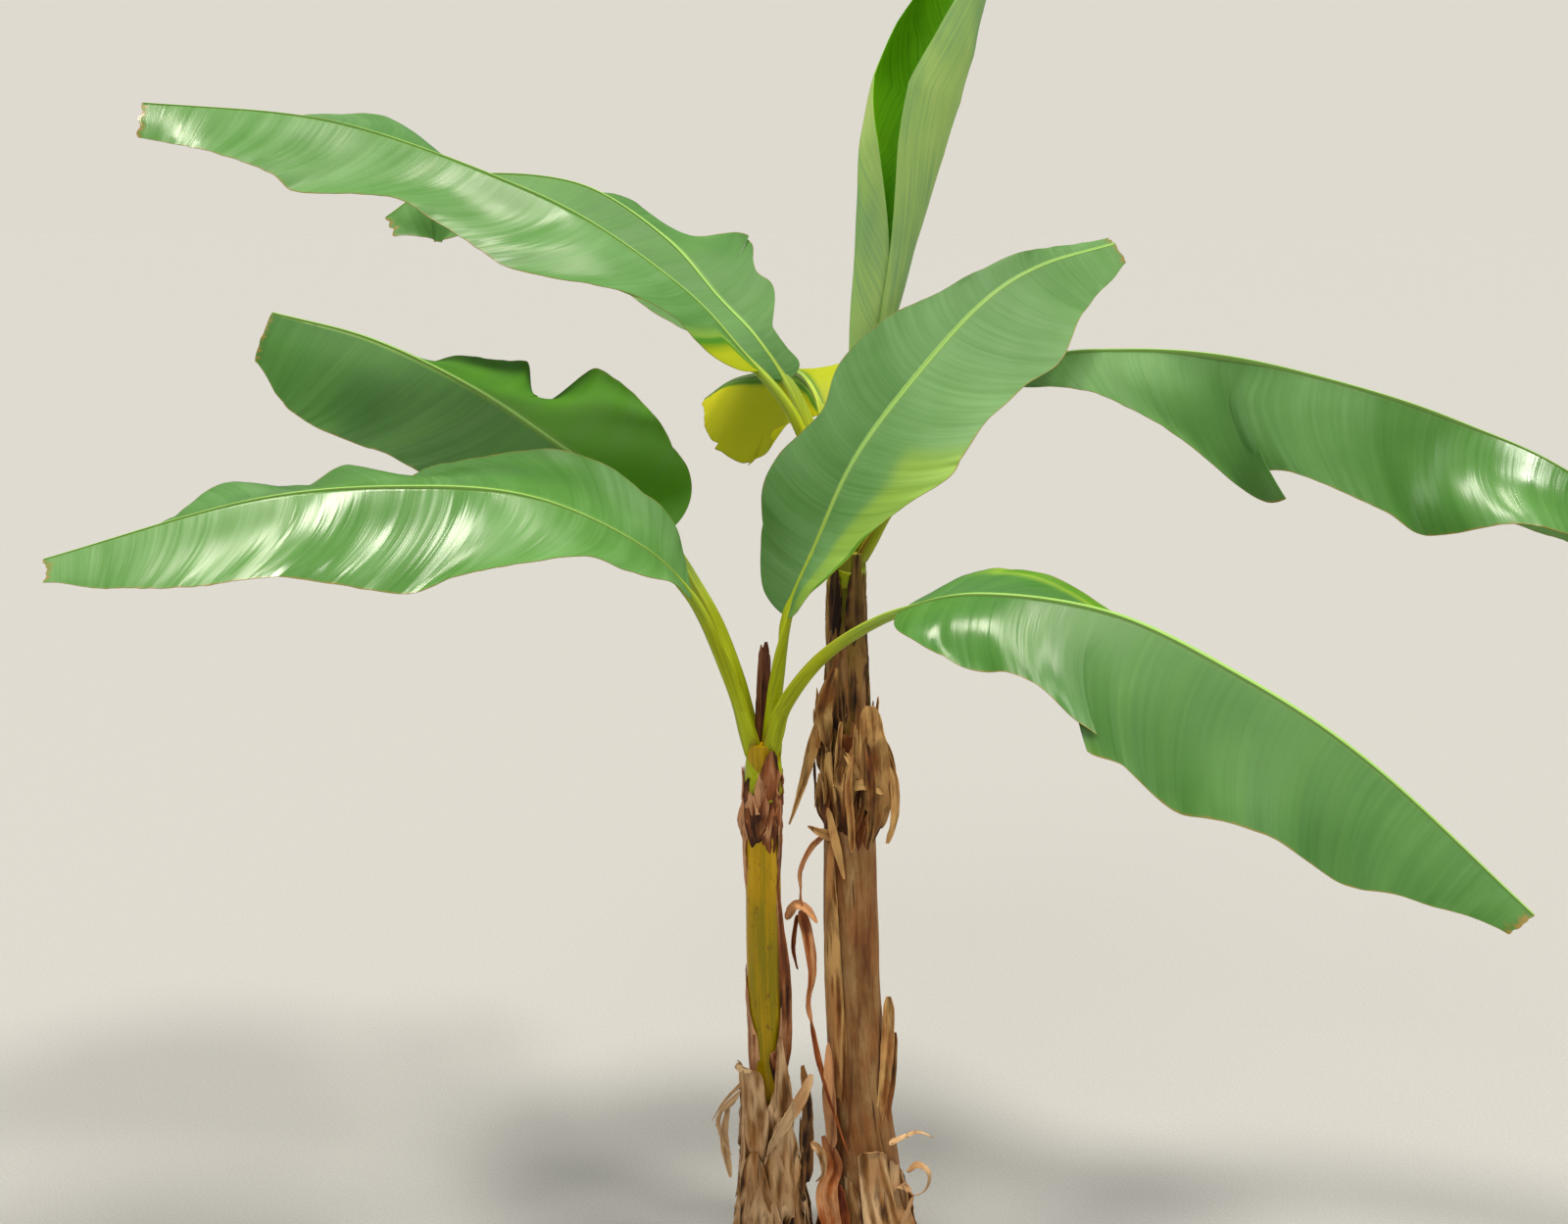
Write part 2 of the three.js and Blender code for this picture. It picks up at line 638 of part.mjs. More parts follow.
// Stalks and blades, each stalk trimmed by the stem and by the stalks before it, each blade by its stalk.
for (const [name, leaf] of Object.entries(LEAVES)) {
  const clearance = toSolid(stalkBody(leaf, GAP));
  add(`stalk_${name}`, trimmed(stalkBody(leaf), crown), "stalk");
  add(`leaf_${name}`, trimmed(bladeBody(leaf), [clearance]), name === "back" ? "backlitBlade" : "blade");
  crown.push(clearance);
}

export default plant;
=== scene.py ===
import bisect
import math
import random
from functools import partial

import bpy
from bpy.props import FloatProperty, FloatVectorProperty, IntProperty, PointerProperty
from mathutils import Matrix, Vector, noise


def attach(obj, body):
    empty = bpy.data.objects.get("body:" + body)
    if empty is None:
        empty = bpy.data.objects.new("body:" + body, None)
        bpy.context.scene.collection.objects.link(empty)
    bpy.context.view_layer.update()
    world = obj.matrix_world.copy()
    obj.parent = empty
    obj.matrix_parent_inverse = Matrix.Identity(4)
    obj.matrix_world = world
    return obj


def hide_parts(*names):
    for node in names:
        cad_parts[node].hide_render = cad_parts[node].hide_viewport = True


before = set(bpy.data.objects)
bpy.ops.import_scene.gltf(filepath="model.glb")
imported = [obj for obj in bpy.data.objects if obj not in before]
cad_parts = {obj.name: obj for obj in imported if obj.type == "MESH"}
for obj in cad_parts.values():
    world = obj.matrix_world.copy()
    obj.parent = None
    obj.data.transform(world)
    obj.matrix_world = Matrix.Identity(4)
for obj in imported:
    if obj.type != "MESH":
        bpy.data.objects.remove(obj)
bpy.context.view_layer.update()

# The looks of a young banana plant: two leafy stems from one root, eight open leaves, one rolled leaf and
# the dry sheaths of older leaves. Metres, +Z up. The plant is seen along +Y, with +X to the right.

bl_info = {
    "name": "Banana Plant",
    "version": (1, 0, 0),
    "blender": (4, 5, 0),
    "location": "View3D > Sidebar > Banana Plant",
    "description": "Builds the leaves, stalks, stems and dry sheaths of a young banana plant",
    "category": "Add Mesh",
}

MM = 0.001
UP = Vector((0, 0, 1))
PATTERN = "pattern"  # the UV map that holds real lengths along and across a piece, in metres
PLACE = "leaf_place"  # a blade's own places: share of its length, share of its width, and its painted backlight, which also sets how much light the shader lets through
TINT = "tint"  # a shade for each point, 0 dark to 1 pale: a dry sheath's own tone with painted shade in the hollows of its folds, or a blade's tone, which is partly painted shade
WAX = "wax"  # how glossy a blade is, 0 to 1
MERGE = 1e-6  # points closer than this are one


def linear(code):
    """A linear colour from an sRGB hex code. One that is linear already stays as it is."""
    if not isinstance(code, str):
        return tuple(code)
    parts = [int(code[i:i + 2], 16) / 255 for i in (0, 2, 4)]
    return tuple(c / 12.92 if c <= 0.04045 else ((c + 0.055) / 1.055) ** 2.4 for c in parts)


def mix(a, b, share):
    return a + (b - a) * share


def held(x, low=0, high=1):
    return min(max(x, low), high)


def smooth(low, high, x):
    """0 below low, 1 above high, and an even curve between them."""
    share = held((x - low) / (high - low))
    return share * share * (3 - 2 * share)


def along(values, t):
    """Smooth value at share t of a list of evenly spaced values."""
    last = len(values) - 1
    x = held(t) * last
    i = min(int(x), last - 1)
    x -= i
    a, b, c, d = (values[held(k, 0, last)] for k in range(i - 1, i + 3))
    return b + x / 2 * (c - a + x * (2 * a - 5 * b + 4 * c - d + x * (3 * (b - c) + d - a)))


def span_at(marks, x):
    """The span of a rising list that x is in, and how far through it x is, from 0 to 1."""
    i = held(bisect.bisect(marks, x) - 1, 0, len(marks) - 2)
    return i, held((x - marks[i]) / (marks[i + 1] - marks[i]))


def wobble(x, y=0.0, z=0.0):
    """Even, repeatable unevenness from -1 to 1."""
    return noise.noise(Vector((x, y, z)))


# Settings that a user would change.


def length(name, description, default):
    return FloatProperty(name=name, description=description, default=default, unit="LENGTH")


def colour(name, code):
    about = f"Colour of the {name.lower()}"
    shade = linear(code)
    return FloatVectorProperty(name=name, description=about, default=shade, subtype="COLOR", min=0, max=1)


class BladeSettings(bpy.types.PropertyGroup):
    thickness: length("Thickness", "Thickness of a blade", 0.9 * MM)
    pleat_height: length("Pleat height", "Height of the soft pleats between the veins", 0.5 * MM)
    pleat_spacing: length("Pleat spacing", "Distance from pleat to pleat along the rib", 17 * MM)
    vein_spacing: length("Vein spacing", "Distance from vein to vein along the rib", 7 * MM)
    wave_height: length("Wave height", "Height of the waves along the margin", 3 * MM)
    wave_length: length("Wave length", "Length of the waves along the margin", 150 * MM)
    upper: colour("Upper side", "53863C")
    pale: colour("Pale streaks", "73A062")
    deep: colour("Deep streaks", "3C702C")
    under: colour("Waxy underside", "7FA876")
    through: colour("Light through a blade", "B4D416")
    # Painted backlight: the colours that a blade turns towards where light is painted coming through it.
    faint: colour("Patches with a little light", "A9C63C")
    fresh: colour("Patches with some light", "4E8E06")
    yellow: colour("Patches that are lit through", "E6DC02")
    rim: colour("Dry rim", "9A7A3A")
    rib: colour("Rib", "7FA450")
    stalk: colour("Leaf stalk", "A0AA0A")


class RolledSettings(bpy.types.PropertyGroup):
    thickness: length("Thickness", "Thickness of the rolled blade", 1.0 * MM)
    outside: colour("Outside", "B6D67A")
    inside: colour("Inside", "7CC41A")


class StemSettings(bpy.types.PropertyGroup):
    streak_width: length("Streak width", "Width of the streaks of a dry stem", 14 * MM)
    ridge_height: length("Ridge height", "Height of the ridges of a dry stem", 2.2 * MM)
    tan: colour("Dry stem", "835A32")
    brown: colour("Stains on the dry stem", "52280F")
    grey: colour("Weathered fibres", "B49264")
    mustard: colour("Live sheath", "B48C00")
    olive: colour("Green part of the live sheath", "8C7A00")


class SheathSettings(bpy.types.PropertyGroup):
    tan: colour("Dry sheaths", "7E5428")
    brown: colour("Stains on the dry sheaths", "2E180A")
    pale: colour("Sun-bleached sheaths", "D0A466")
    red: colour("Newer dry sheaths", "98501F")
    seed: IntProperty(name="Seed", description="Seed of the sheaths' unevenness", default=7, min=0)


class StageSettings(bpy.types.PropertyGroup):
    floor: colour("Floor", "8B8A88")
    floor_size: length("Floor size", "Side of the square floor", 160)


# The leaves. rib runs from the stem to the tip, stalk is how much of it is bare. Each half blade has its
# width, its fold (degrees above or below level) and its curl at even steps from the stalk to the tip.
# trim adds to a half's width where its outline is uneven. hang lowers the margin where it waves: each unit
# adds a millimetre of width and 0.8 degrees of droop. Both are at even steps too.
# A split is (half, where along, from where across to the margin, flap before, flap behind). A flap has a turn
# (degrees, up), extra width, a slide towards the tip, and the share of the blade over which these fade.
# A glow is (half, from, to along, from, to across, strength): painted backlight, a patch where the blade's
# colour turns towards lit yellow-greens as if light came through it; it also lets more light through in the
# shader.
# A leaf's tone is its shade, 0 dark to 1 pale: partly its own colour and partly painted shade, as the middle
# left leaf is made darker because it lies in shadow. wax is its gloss, at even steps. Millimetres.

LEAVES = {
    "upper_left": {
        "rib": [(-56, 12, 1090), (-82, 18, 1200), (-120, 30, 1295), (-190, 40, 1380), (-270, 50, 1465),
                (-410, 60, 1565), (-550, 70, 1630), (-720, 80, 1690), (-845, 85, 1715), (-1050, 90, 1730)],
        "stalk": 290,
        "left": ([7, 110, 148, 165, 172, 172, 165, 150, 130, 98, 62],
                 [-10, -12, -16, -22, -37, -34, -31, -42, -36, -33, -40], -8),
        "right": ([7, 95, 125, 138, 140, 142, 150, 146, 125, 95, 58],
                  [0, -18, -32, -40, -42, -26, 10, 8, 0, -14, -20], -10),
        "hang": {"left": [0, -1, -6, -3, 4, 13, 14, 0, -13, -17, -18, -9, 1, 1, -11, -12, -9, -5, -2, 2, 5]},
        "glow": [("left", -0.1, 0.1, 0.2, 1.1, 0.8)],
        "tone_and_painted_shade": 0.6,
        "wax": [0.4, 0.5, 0.8, 0.8, 0.7, 0.9, 0.9],
    },
    "upper_left_back": {
        "rib": [(-52, 30, 1090), (-72, 82, 1200), (-112, 136, 1305), (-170, 195, 1388), (-230, 252, 1447),
                (-315, 320, 1535), (-445, 375, 1615), (-595, 410, 1635), (-696, 425, 1615),
                (-777, 430, 1565)],
        "stalk": 280,
        "left": ([7, 80, 118, 135, 145, 148, 146, 138, 122, 96, 60],
                 [-5, -10, -14, -20, -24, -28, -32, -34, -36, -36, -34], -8),
        "right": ([7, 66, 112, 125, 140, 145, 145, 135, 115, 90, 50],
                  [35, 36, 36, 18, -2, -6, -10, -14, -18, -22, -26], -6),
        "trim": {"right": [0, -30, -36, -16, -34, -10, 0, 0, 0, 0, 0, 0, 0, 0, 0, 0, 0, 0, 0, 0, 0]},
        "hang": {"left": [0, 0, 0, 0, 0, 0, 0, 0, 0, 0, 0, 0, 0, 2, 7, 11, 13, 14, 17, 15, 2],
                 "right": [0, 0, 0, 0, 0, 2, 14, 26, 15, 5, 0, 0, 0, 0, 0, 0, 0, 0, 0, 0, 0]},
        "splits": [("right", 0.27, 0.55, (-4, 0, 0, 0.08), (3, 0, 1, 0.08))],
        "tone_and_painted_shade": 0.4,
        "wax": [0.25, 0.25, 0.35, 0.6],
    },
    "middle_left": {
        "rib": [(-173, -95, 835), (-200, -78, 930), (-245, -40, 1030), (-340, 20, 1160), (-460, 100, 1235),
                (-610, 200, 1315), (-780, 300, 1380), (-960, 400, 1415)],
        "stalk": 330,
        "left": ([7, 110, 145, 160, 165, 165, 160, 152, 140, 120, 84],
                 [-20, -30, -34, -38, -40, -42, -44, -46, -48, -50, -52], -8),
        "right": ([7, 110, 150, 165, 165, 165, 158, 150, 138, 118, 80],
                  [30, 30, 28, 26, 14, 2, -6, -24, -28, -30, -30], -6),
        "trim": {"right": [0, 2, 13, 3, 0, 0, 0, 0, 0, 0, 0]},
        "hang": {"left": [0, 0, 0, 0, 0, 0, 0, 0, 0, 0, 4, 8, 12, 15, 15, 13, 12, 10, 10, 7, 4]},
        "splits": [("right", 0.405, 0.15, (-34, 0, 0, 0.12), (-30, 0, 0, 0.05))],
        "glow": [("right", -0.1, 0.42, -0.1, 1.1, 0.55), ("right", 0.3, 1.1, -0.1, 1.1, 0.42)],
        # painted shade: this leaf is made darker because it lies in shadow
        "tone_and_painted_shade": 0.2,
        "wax": [0.1, 0.1, 0.1, 0.5],
    },
    "lower_left": {
        "rib": [(-176, -108, 835), (-207, -133, 940), (-260, -165, 1065), (-330, -190, 1140),
                (-460, -215, 1205), (-610, -240, 1225), (-825, -255, 1210), (-1110, -260, 1130)],
        "stalk": 250,
        "left": ([7, 112, 146, 160, 168, 166, 158, 145, 120, 90, 46],
                 [-14, -15, -22, -31, -44, -46, -37, -38, -36, -34, -32], -8),
        "right": ([7, 118, 152, 162, 165, 162, 158, 146, 118, 86, 40],
                  [32, 28, 22, 14, 4, 2, -6, 2, -6, -8, -10], -6),
        "hang": {
            "left": [0, -8, -2, -9, 2, 7, 7, 7, -1, -8, -12, -12, -8, -8, -9, -8, -6, -5, -3, 0, 0],
            "right": [0, -17, -14, -10, -2, 11, 14, 12, 14, 2, -7, -2, -9, -13, -12, -14, -12, -10, 0, 0, 0],
        },
        "tone_and_painted_shade": 0.6,
        "wax": [0.3, 0.5, 0.9, 1, 1, 0.7, 0.6],
    },
    "front": {
        "rib": [(-150, -96, 835), (-141, -110, 935), (-125, -120, 1035), (-90, -120, 1120), (-35, -100, 1240),
                (50, -60, 1350), (150, 10, 1450), (240, 80, 1500), (365, 180, 1530)],
        "stalk": 190,
        "roll": -48,
        "left": ([7, 80, 108, 106, 94, 92, 74, 54, 38, 24, 12],
                 [22, 20, 18, 14, 10, 8, 6, 4, 2, 0, 0], -4),
        "right": ([7, 56, 88, 120, 130, 132, 138, 134, 104, 66, 30],
                  [16, 14, 12, 10, 8, 6, 4, 2, 0, 0, 0], -4),
        "trim": {
            "left": [0, -6, 0, 0, -12, -28, -32, -7, 0, -5, -14, -21, -23, -20, -17, -12, -10, -8, -6, -2, 0],
            "right": [0, -14, 0, 0, 17, 36, 17, 4, -5, -2, 0, 8, 1, -12, -22, -22, -15, -8, 0, 8, 6],
        },
        "glow": [("right", 0.02, 0.2, 0.92, 1.1, 0.7), ("right", -0.02, 0.36, 0.45, 1.1, 0.3)],
        "tone_and_painted_shade": 0.75,
        "wax": [0.25, 0.3, 0.3, 0.3],
    },
    "lower_right": {
        "rib": [(-150, -115, 835), (-128, -138, 905), (-70, -190, 990), (20, -260, 1060), (120, -340, 1100),
                (270, -455, 1100), (405, -575, 1050), (530, -680, 975), (690, -780, 830)],
        "stalk": 330,
        "left": ([7, 108, 142, 160, 168, 168, 160, 142, 116, 84, 36],
                 [16, 12, -4, -28, -42, -48, -50, -50, -48, -46, -42], -12),
        "right": ([7, 98, 118, 154, 168, 178, 160, 135, 116, 80, 36],
                  [-16, -24, -32, -40, -44, -46, -46, -44, -42, -38, -36], -10),
        "hang": {"left": [0, -9, -5, 2, 9, 0, 0, 0, 0, 0, 0, 0, 0, 0, 0, 0, 0, 0, 0, 0, 0],
                 "right": [0, 3, 13, 14, 5, 0, 5, 6, 5, 4, 2, -5, -7, -6, 1, 5, 2, -2, 0, 0, 2]},
        "splits": [("right", 0.335, 0.2, (0, -8, -3, 0.06), (-2, 14, -18, 0.06))],
        "glow": [("left", 0.05, 0.3, 0.8, 1.1, 0.4), ("right", 0.32, 0.37, 0.95, 1.1, 0.8)],
        "tone_and_painted_shade": 0.28,
        "wax": [0.95, 1, 0.6, 0.3, 0.3, 0.3, 0.4],
    },
    "right": {
        "rib": [(-19, 14, 1090), (45, 28, 1190), (135, 60, 1285), (240, 80, 1365), (370, 80, 1380),
                (525, 60, 1370), (715, 20, 1325), (845, -20, 1280), (975, -60, 1220), (1160, -110, 1090)],
        "stalk": 330,
        "left": ([7, 110, 150, 172, 182, 185, 180, 165, 138, 100, 50],
                 [-10, -20, -30, -36, -40, -42, -42, -40, -38, -36, -34], -10),
        "right": ([7, 90, 124, 184, 176, 170, 180, 160, 126, 92, 46],
                  [-24, -34, -44, -70, -56, -54, -62, -46, -42, -42, -40], -8),
        "hang": {"right": [0, 0, 0, 6, 20, 18, 3, -11, -6, -1, 3, 4, -12, -21, -21, -19, -15, -11, -8, -4,
                           0]},
        "splits": [("right", 0.334, 0.08, (4, 20, 8, 0.14), (-4, -16, -16, 0.14))],
        "tone_and_painted_shade": 0.5,
        "wax": [0.15, 0.2, 0.3, 0.7, 1, 1, 0.8],
    },
    "back": {
        "rib": [(-38, 34, 1090), (-60, 95, 1220), (-80, 150, 1305), (-115, 250, 1335), (-170, 370, 1320),
                (-220, 500, 1295), (-270, 640, 1250)],
        "stalk": 215,
        "left": ([7, 118, 150, 156, 146, 130, 108, 84, 56, 34, 14],
                 [-50, -66, -72, -72, -68, -63, -58, -54, -50, -46, -42], -6),
        "right": ([7, 90, 120, 136, 140, 140, 134, 120, 98, 70, 30],
                  [30, 24, 10, -4, -14, -20, -24, -26, -28, -28, -28], -6),
        "splits": [("left", 0.3, 0.7, (3, 4, 0, 0.06), (-3, -4, -5, 0.06)),
                   ("left", 0.52, 0.8, (3, 4, 0, 0.05), (-3, -4, -5, 0.05))],
        "tone_and_painted_shade": 0.5,
        "wax": [0.3, 0.3],
        "glow": [("left", -0.1, 1.1, 0.12, 1.1, 1.0), ("right", -0.1, 1.1, 0.0, 1.1, 0.8)],
    },
}
VEIN_SWEEP = [0.15, 0.42, 0.45, 0.4, -0.1]  # lean of the veins towards the tip, as a share of the width
HANG_TURN = math.radians(0.8)

# The rolled leaf: centre and radius of the roll, and where its right and its left free margin lie round it,
# in degrees from the right-hand side towards the viewer. It is open towards the viewer near the top.

ROLLED_LEAF = [
    ((-38, 16, 1090), 9, 30, 20),
    ((-26, 24, 1190), 13, 40, 20),
    ((-14, 30, 1300), 21, 55, 30),
    ((-8, 35, 1395), 30, 72, 50),
    ((13, 45, 1530), 44, 82, 84),
    ((34, 55, 1665), 63, 96, 126),
    ((54, 60, 1748), 68, 101, 165),
    ((80, 64, 1816), 61, 92, 185),
    ((106, 68, 1872), 48, 86, 190),
    ((162, 76, 1975), 20, 80, 190),
    ((203, 82, 2050), 3, 80, 190),
]
ROLL_DEPTH = 0.8  # the roll is a little flatter from front to back

# Curves and stems.


class Limb:
    """A smooth curve through points given in millimetres, walked by length in metres."""

    STEPS = 400
    NUDGE = 1e-4

    def __init__(self, points):
        spots = [Vector(p) * MM for p in points]
        self.spots = [2 * spots[0] - spots[1], *spots, 2 * spots[-1] - spots[-2]]
        self.spans = len(spots) - 1
        walked = [self.point(i / self.STEPS) for i in range(self.STEPS + 1)]
        self.walk = [0.0]
        for a, b in zip(walked, walked[1:]):
            self.walk.append(self.walk[-1] + (b - a).length)
        self.length = self.walk[-1]
        self.kept = {}

    def point(self, t):
        x = held(t) * self.spans
        i = min(int(x), self.spans - 1)
        a, b, c, d = self.spots[i:i + 4]
        x -= i
        from_b = (c - a) * 0.5
        into_c = (d - b) * 0.5
        cubic = 2 * b - 2 * c + from_b + into_c
        square = -3 * b + 3 * c - 2 * from_b - into_c
        return cubic * x ** 3 + square * x ** 2 + from_b * x + b

    def frame(self, s):
        """Place, forward, sideways and upward directions at length s. Past either end it runs on straight."""
        key = round(s, 7)
        if key not in self.kept:
            inside = held(s, 0, self.length)
            t = sum(span_at(self.walk, inside)) / self.STEPS
            ahead = self.point(min(t + self.NUDGE, 1))
            forward = (ahead - self.point(max(t - self.NUDGE, 0))).normalized()
            side = forward.cross(UP).normalized()
            at = self.point(t) + forward * (s - inside)
            self.kept[key] = (at, forward, side, side.cross(forward))
        return self.kept[key]


class Stem:
    """Centre and radius of a stem at any height, read from the frame's stem."""

    MIDDLE = 5 * MM  # points nearer to the centre belong to its flat ends

    def __init__(self, node):
        rings = {}
        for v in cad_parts[node].data.vertices:
            rings.setdefault(round(v.co.z, 3), set()).add((round(v.co.x, 6), round(v.co.y, 6)))
        self.rows = []
        for z in sorted(rings):
            ring = rings[z]
            x = sum(p[0] for p in ring) / len(ring)
            y = sum(p[1] for p in ring) / len(ring)
            far = [math.dist(p, (x, y)) for p in ring if math.dist(p, (x, y)) > self.MIDDLE]
            self.rows.append((x, y, sum(far) / len(far)))
        self.heights = sorted(rings)
        self.top = self.heights[-1]

    def at(self, z):
        i, share = span_at(self.heights, z)
        return tuple(mix(low, high, share) for low, high in zip(*self.rows[i:i + 2]))

    def surface(self, angle, z, lift):
        """Point that stands off the stem by lift, at an angle (radians, from +X towards +Y)."""
        x, y, r = self.at(z)
        return Vector((x + (r + lift) * math.cos(angle), y + (r + lift) * math.sin(angle), z))


# Shaping with primitives.


def start_grid(name, along_steps, across_steps):
    """A flat grid primitive from 0 to 1 along X and across Y."""
    bpy.ops.object.select_all(action="DESELECT")
    bpy.ops.mesh.primitive_grid_add(x_subdivisions=along_steps, y_subdivisions=across_steps, size=1)
    piece = bpy.context.active_object
    piece.name = name
    piece.data.name = name
    piece.data.uv_layers[0].name = PATTERN
    for v in piece.data.vertices:
        v.co.x += 0.5
        v.co.y += 0.5
    return piece


def shape_grid(piece, place, sides=None):
    """Moves each point of a grid to place(u, v, side), which also gives its pattern place in metres."""
    mesh = piece.data
    spots = []
    patterns = []
    for v in mesh.vertices:
        spot, pattern = place(v.co.x, v.co.y, sides[v.index] if sides else 0)
        spots.extend(spot)
        patterns.append(pattern)
    mesh.vertices.foreach_set("co", spots)
    uv = mesh.uv_layers[0].data
    for loop in mesh.loops:
        uv[loop.index].uv = patterns[loop.vertex_index]
    mesh.update()
    return piece


def close_tube(piece):
    """Joins a rolled-up grid's two long edges and closes its ends."""
    bpy.ops.object.mode_set(mode="EDIT")
    bpy.ops.mesh.select_all(action="SELECT")
    bpy.ops.mesh.remove_doubles(threshold=MERGE)
    bpy.ops.mesh.fill_holes(sides=0)
    bpy.ops.mesh.normals_make_consistent(inside=False)
    bpy.ops.object.mode_set(mode="OBJECT")
    return piece


def thicken(piece, thickness, under=0):
    """Gives a sheet its thickness, on the side away from its normals; under is the underside's slot."""
    bpy.ops.object.modifier_add(type="SOLIDIFY")
    wall = piece.modifiers[-1]
    wall.thickness = thickness
    wall.offset = -1
    wall.material_offset = under
    wall.material_offset_rim = under
    bpy.ops.object.modifier_apply(modifier=wall.name)
    return piece


def joined(pieces, name):
    """One piece made of several."""
    bpy.ops.object.select_all(action="DESELECT")
    for piece in pieces:
        piece.select_set(True)
    bpy.context.view_layer.objects.active = pieces[0]
    if len(pieces) > 1:
        bpy.ops.object.join()
    pieces[0].name = name
    pieces[0].data.name = name
    return pieces[0]


def set_attribute(piece, name, values):
    """A number for each point, or one for them all."""
    mesh = piece.data
    if isinstance(values, (int, float)):
        values = [values] * len(mesh.vertices)
    mesh.attributes.new(name, "FLOAT", "POINT").data.foreach_set("value", values)


def finish_piece(piece, node, slot, angle=60):
    """Smooths a piece, seats it on the plant's one body and hides the frame's part that it stands for."""
    bpy.ops.object.select_all(action="DESELECT")
    piece.select_set(True)
    bpy.context.view_layer.objects.active = piece
    bpy.ops.object.shade_smooth_by_angle(angle=math.radians(angle))
    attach(piece, "root")
    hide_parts(node)


# Materials. Each is built with node, which is add with the material's own tree.

ALL = slice(None)
MATHS = ("Math", (0, 1, 2), 0)
KINDS = {
    # short name: type, sockets in the order that add takes their values, output, and then any settings
    "pattern": ("UVMap", (), 0, ("uv_map", PATTERN)),
    "object": ("TexCoord", (), "Object"),
    "generated": ("TexCoord", (), "Generated"),
    "leaf_place": ("Attribute", (), "Vector", ("attribute_name", PLACE)),
    "tint": ("Attribute", (), "Fac", ("attribute_name", TINT)),
    "wax": ("Attribute", (), "Fac", ("attribute_name", WAX)),
    "camera_ray": ("LightPath", (), "Is Camera Ray"),
    "axes": ("SeparateXYZ", (0,), ALL),
    "scaled": ("Mapping", ("Vector", "Scale"), 0),
    "noise": ("TexNoise", ("Vector", "Scale", "Detail", "Roughness", "Distortion"), 0),
    "cells": ("TexVoronoi", ("Vector", "Scale", "Randomness"), 0),
    "ramp": ("ValToRGB", ("Fac", "stops"), 0),
    "mix": ("Mix", (0, 6, 7), 2, ("data_type", "RGBA")),
    "lighten": ("Mix", (0, 6, 7), 2, ("data_type", "RGBA"), ("blend_type", "LIGHTEN")),
    "subtract": (*MATHS, ("operation", "SUBTRACT")),
    "multiply": (*MATHS, ("operation", "MULTIPLY")),
    "multiply_add": (*MATHS, ("operation", "MULTIPLY_ADD")),
    "multiply_add_to_one": (*MATHS, ("operation", "MULTIPLY_ADD"), ("use_clamp", True)),
    "bump": ("Bump", ("Height", "Distance", "Strength"), 0),
    "shell": ("BsdfPrincipled", ("Base Color", "Roughness", "Specular IOR Level", "IOR", "Normal",
                                 "Subsurface Weight", "Subsurface Radius", "Subsurface Scale"), 0),
    "light_through": ("BsdfTranslucent", ("Color", "Normal"), 0),
    "background": ("Background", ("Color", "Strength"), 0),
    "shader_mix": ("MixShader", (0, 1, 2), 0),
    "output": ("OutputMaterial", (0,), ALL),
    "world_output": ("OutputWorld", (0,), ALL),
}
LEAF_IOR = 1.45  # of a plant's wax
DRY_IOR = 1.4


def add(tree, kind, *values):
    """Adds a node. Each value is a socket to link, a number, a colour, or the stops of a ramp."""
    suffix, sockets, output, *settings = KINDS[kind]
    made = tree.nodes.new("ShaderNode" + suffix)
    for name, setting in settings:
        setattr(made, name, setting)
    for key, value in zip(sockets, values):
        if isinstance(value, bpy.types.NodeSocket):
            tree.links.new(value, made.inputs[key])
        elif key == "stops":
            elements = made.color_ramp.elements
            while len(elements) < len(value):
                elements.new(1)
            for element, (position, shade) in zip(elements, value):
                element.position = position
                element.color = (*((shade,) * 3 if isinstance(shade, float) else linear(shade)), 1)
        elif isinstance(value, (int, float)):
            made.inputs[key].default_value = value
        else:
            size = len(made.inputs[key].default_value)
            made.inputs[key].default_value = (*linear(value), 1)[:size]
    return made.outputs[output]


def new_material(name):
    material = bpy.data.materials.new(name)
    material.use_nodes = True
    material.node_tree.nodes.clear()
    return material, partial(add, material.node_tree)


def measured(node, source, size):
    """Coordinates in which one unit is the given size each way, in metres."""
    return node("scaled", source, tuple(1 / max(s, MERGE) for s in size))


def grain(node, source, size, detail=2, rough=0.5, warp=0):
    """Noise whose features have the given size each way."""
    return node("noise", measured(node, source, size), 1, detail, rough, warp)


def overlaid(node, skin, shade, pattern, stops):
    """The skin with a shade laid over it, as strongly as the pattern's ramp says."""
    return node("mix", node("ramp", pattern, stops), skin, shade)


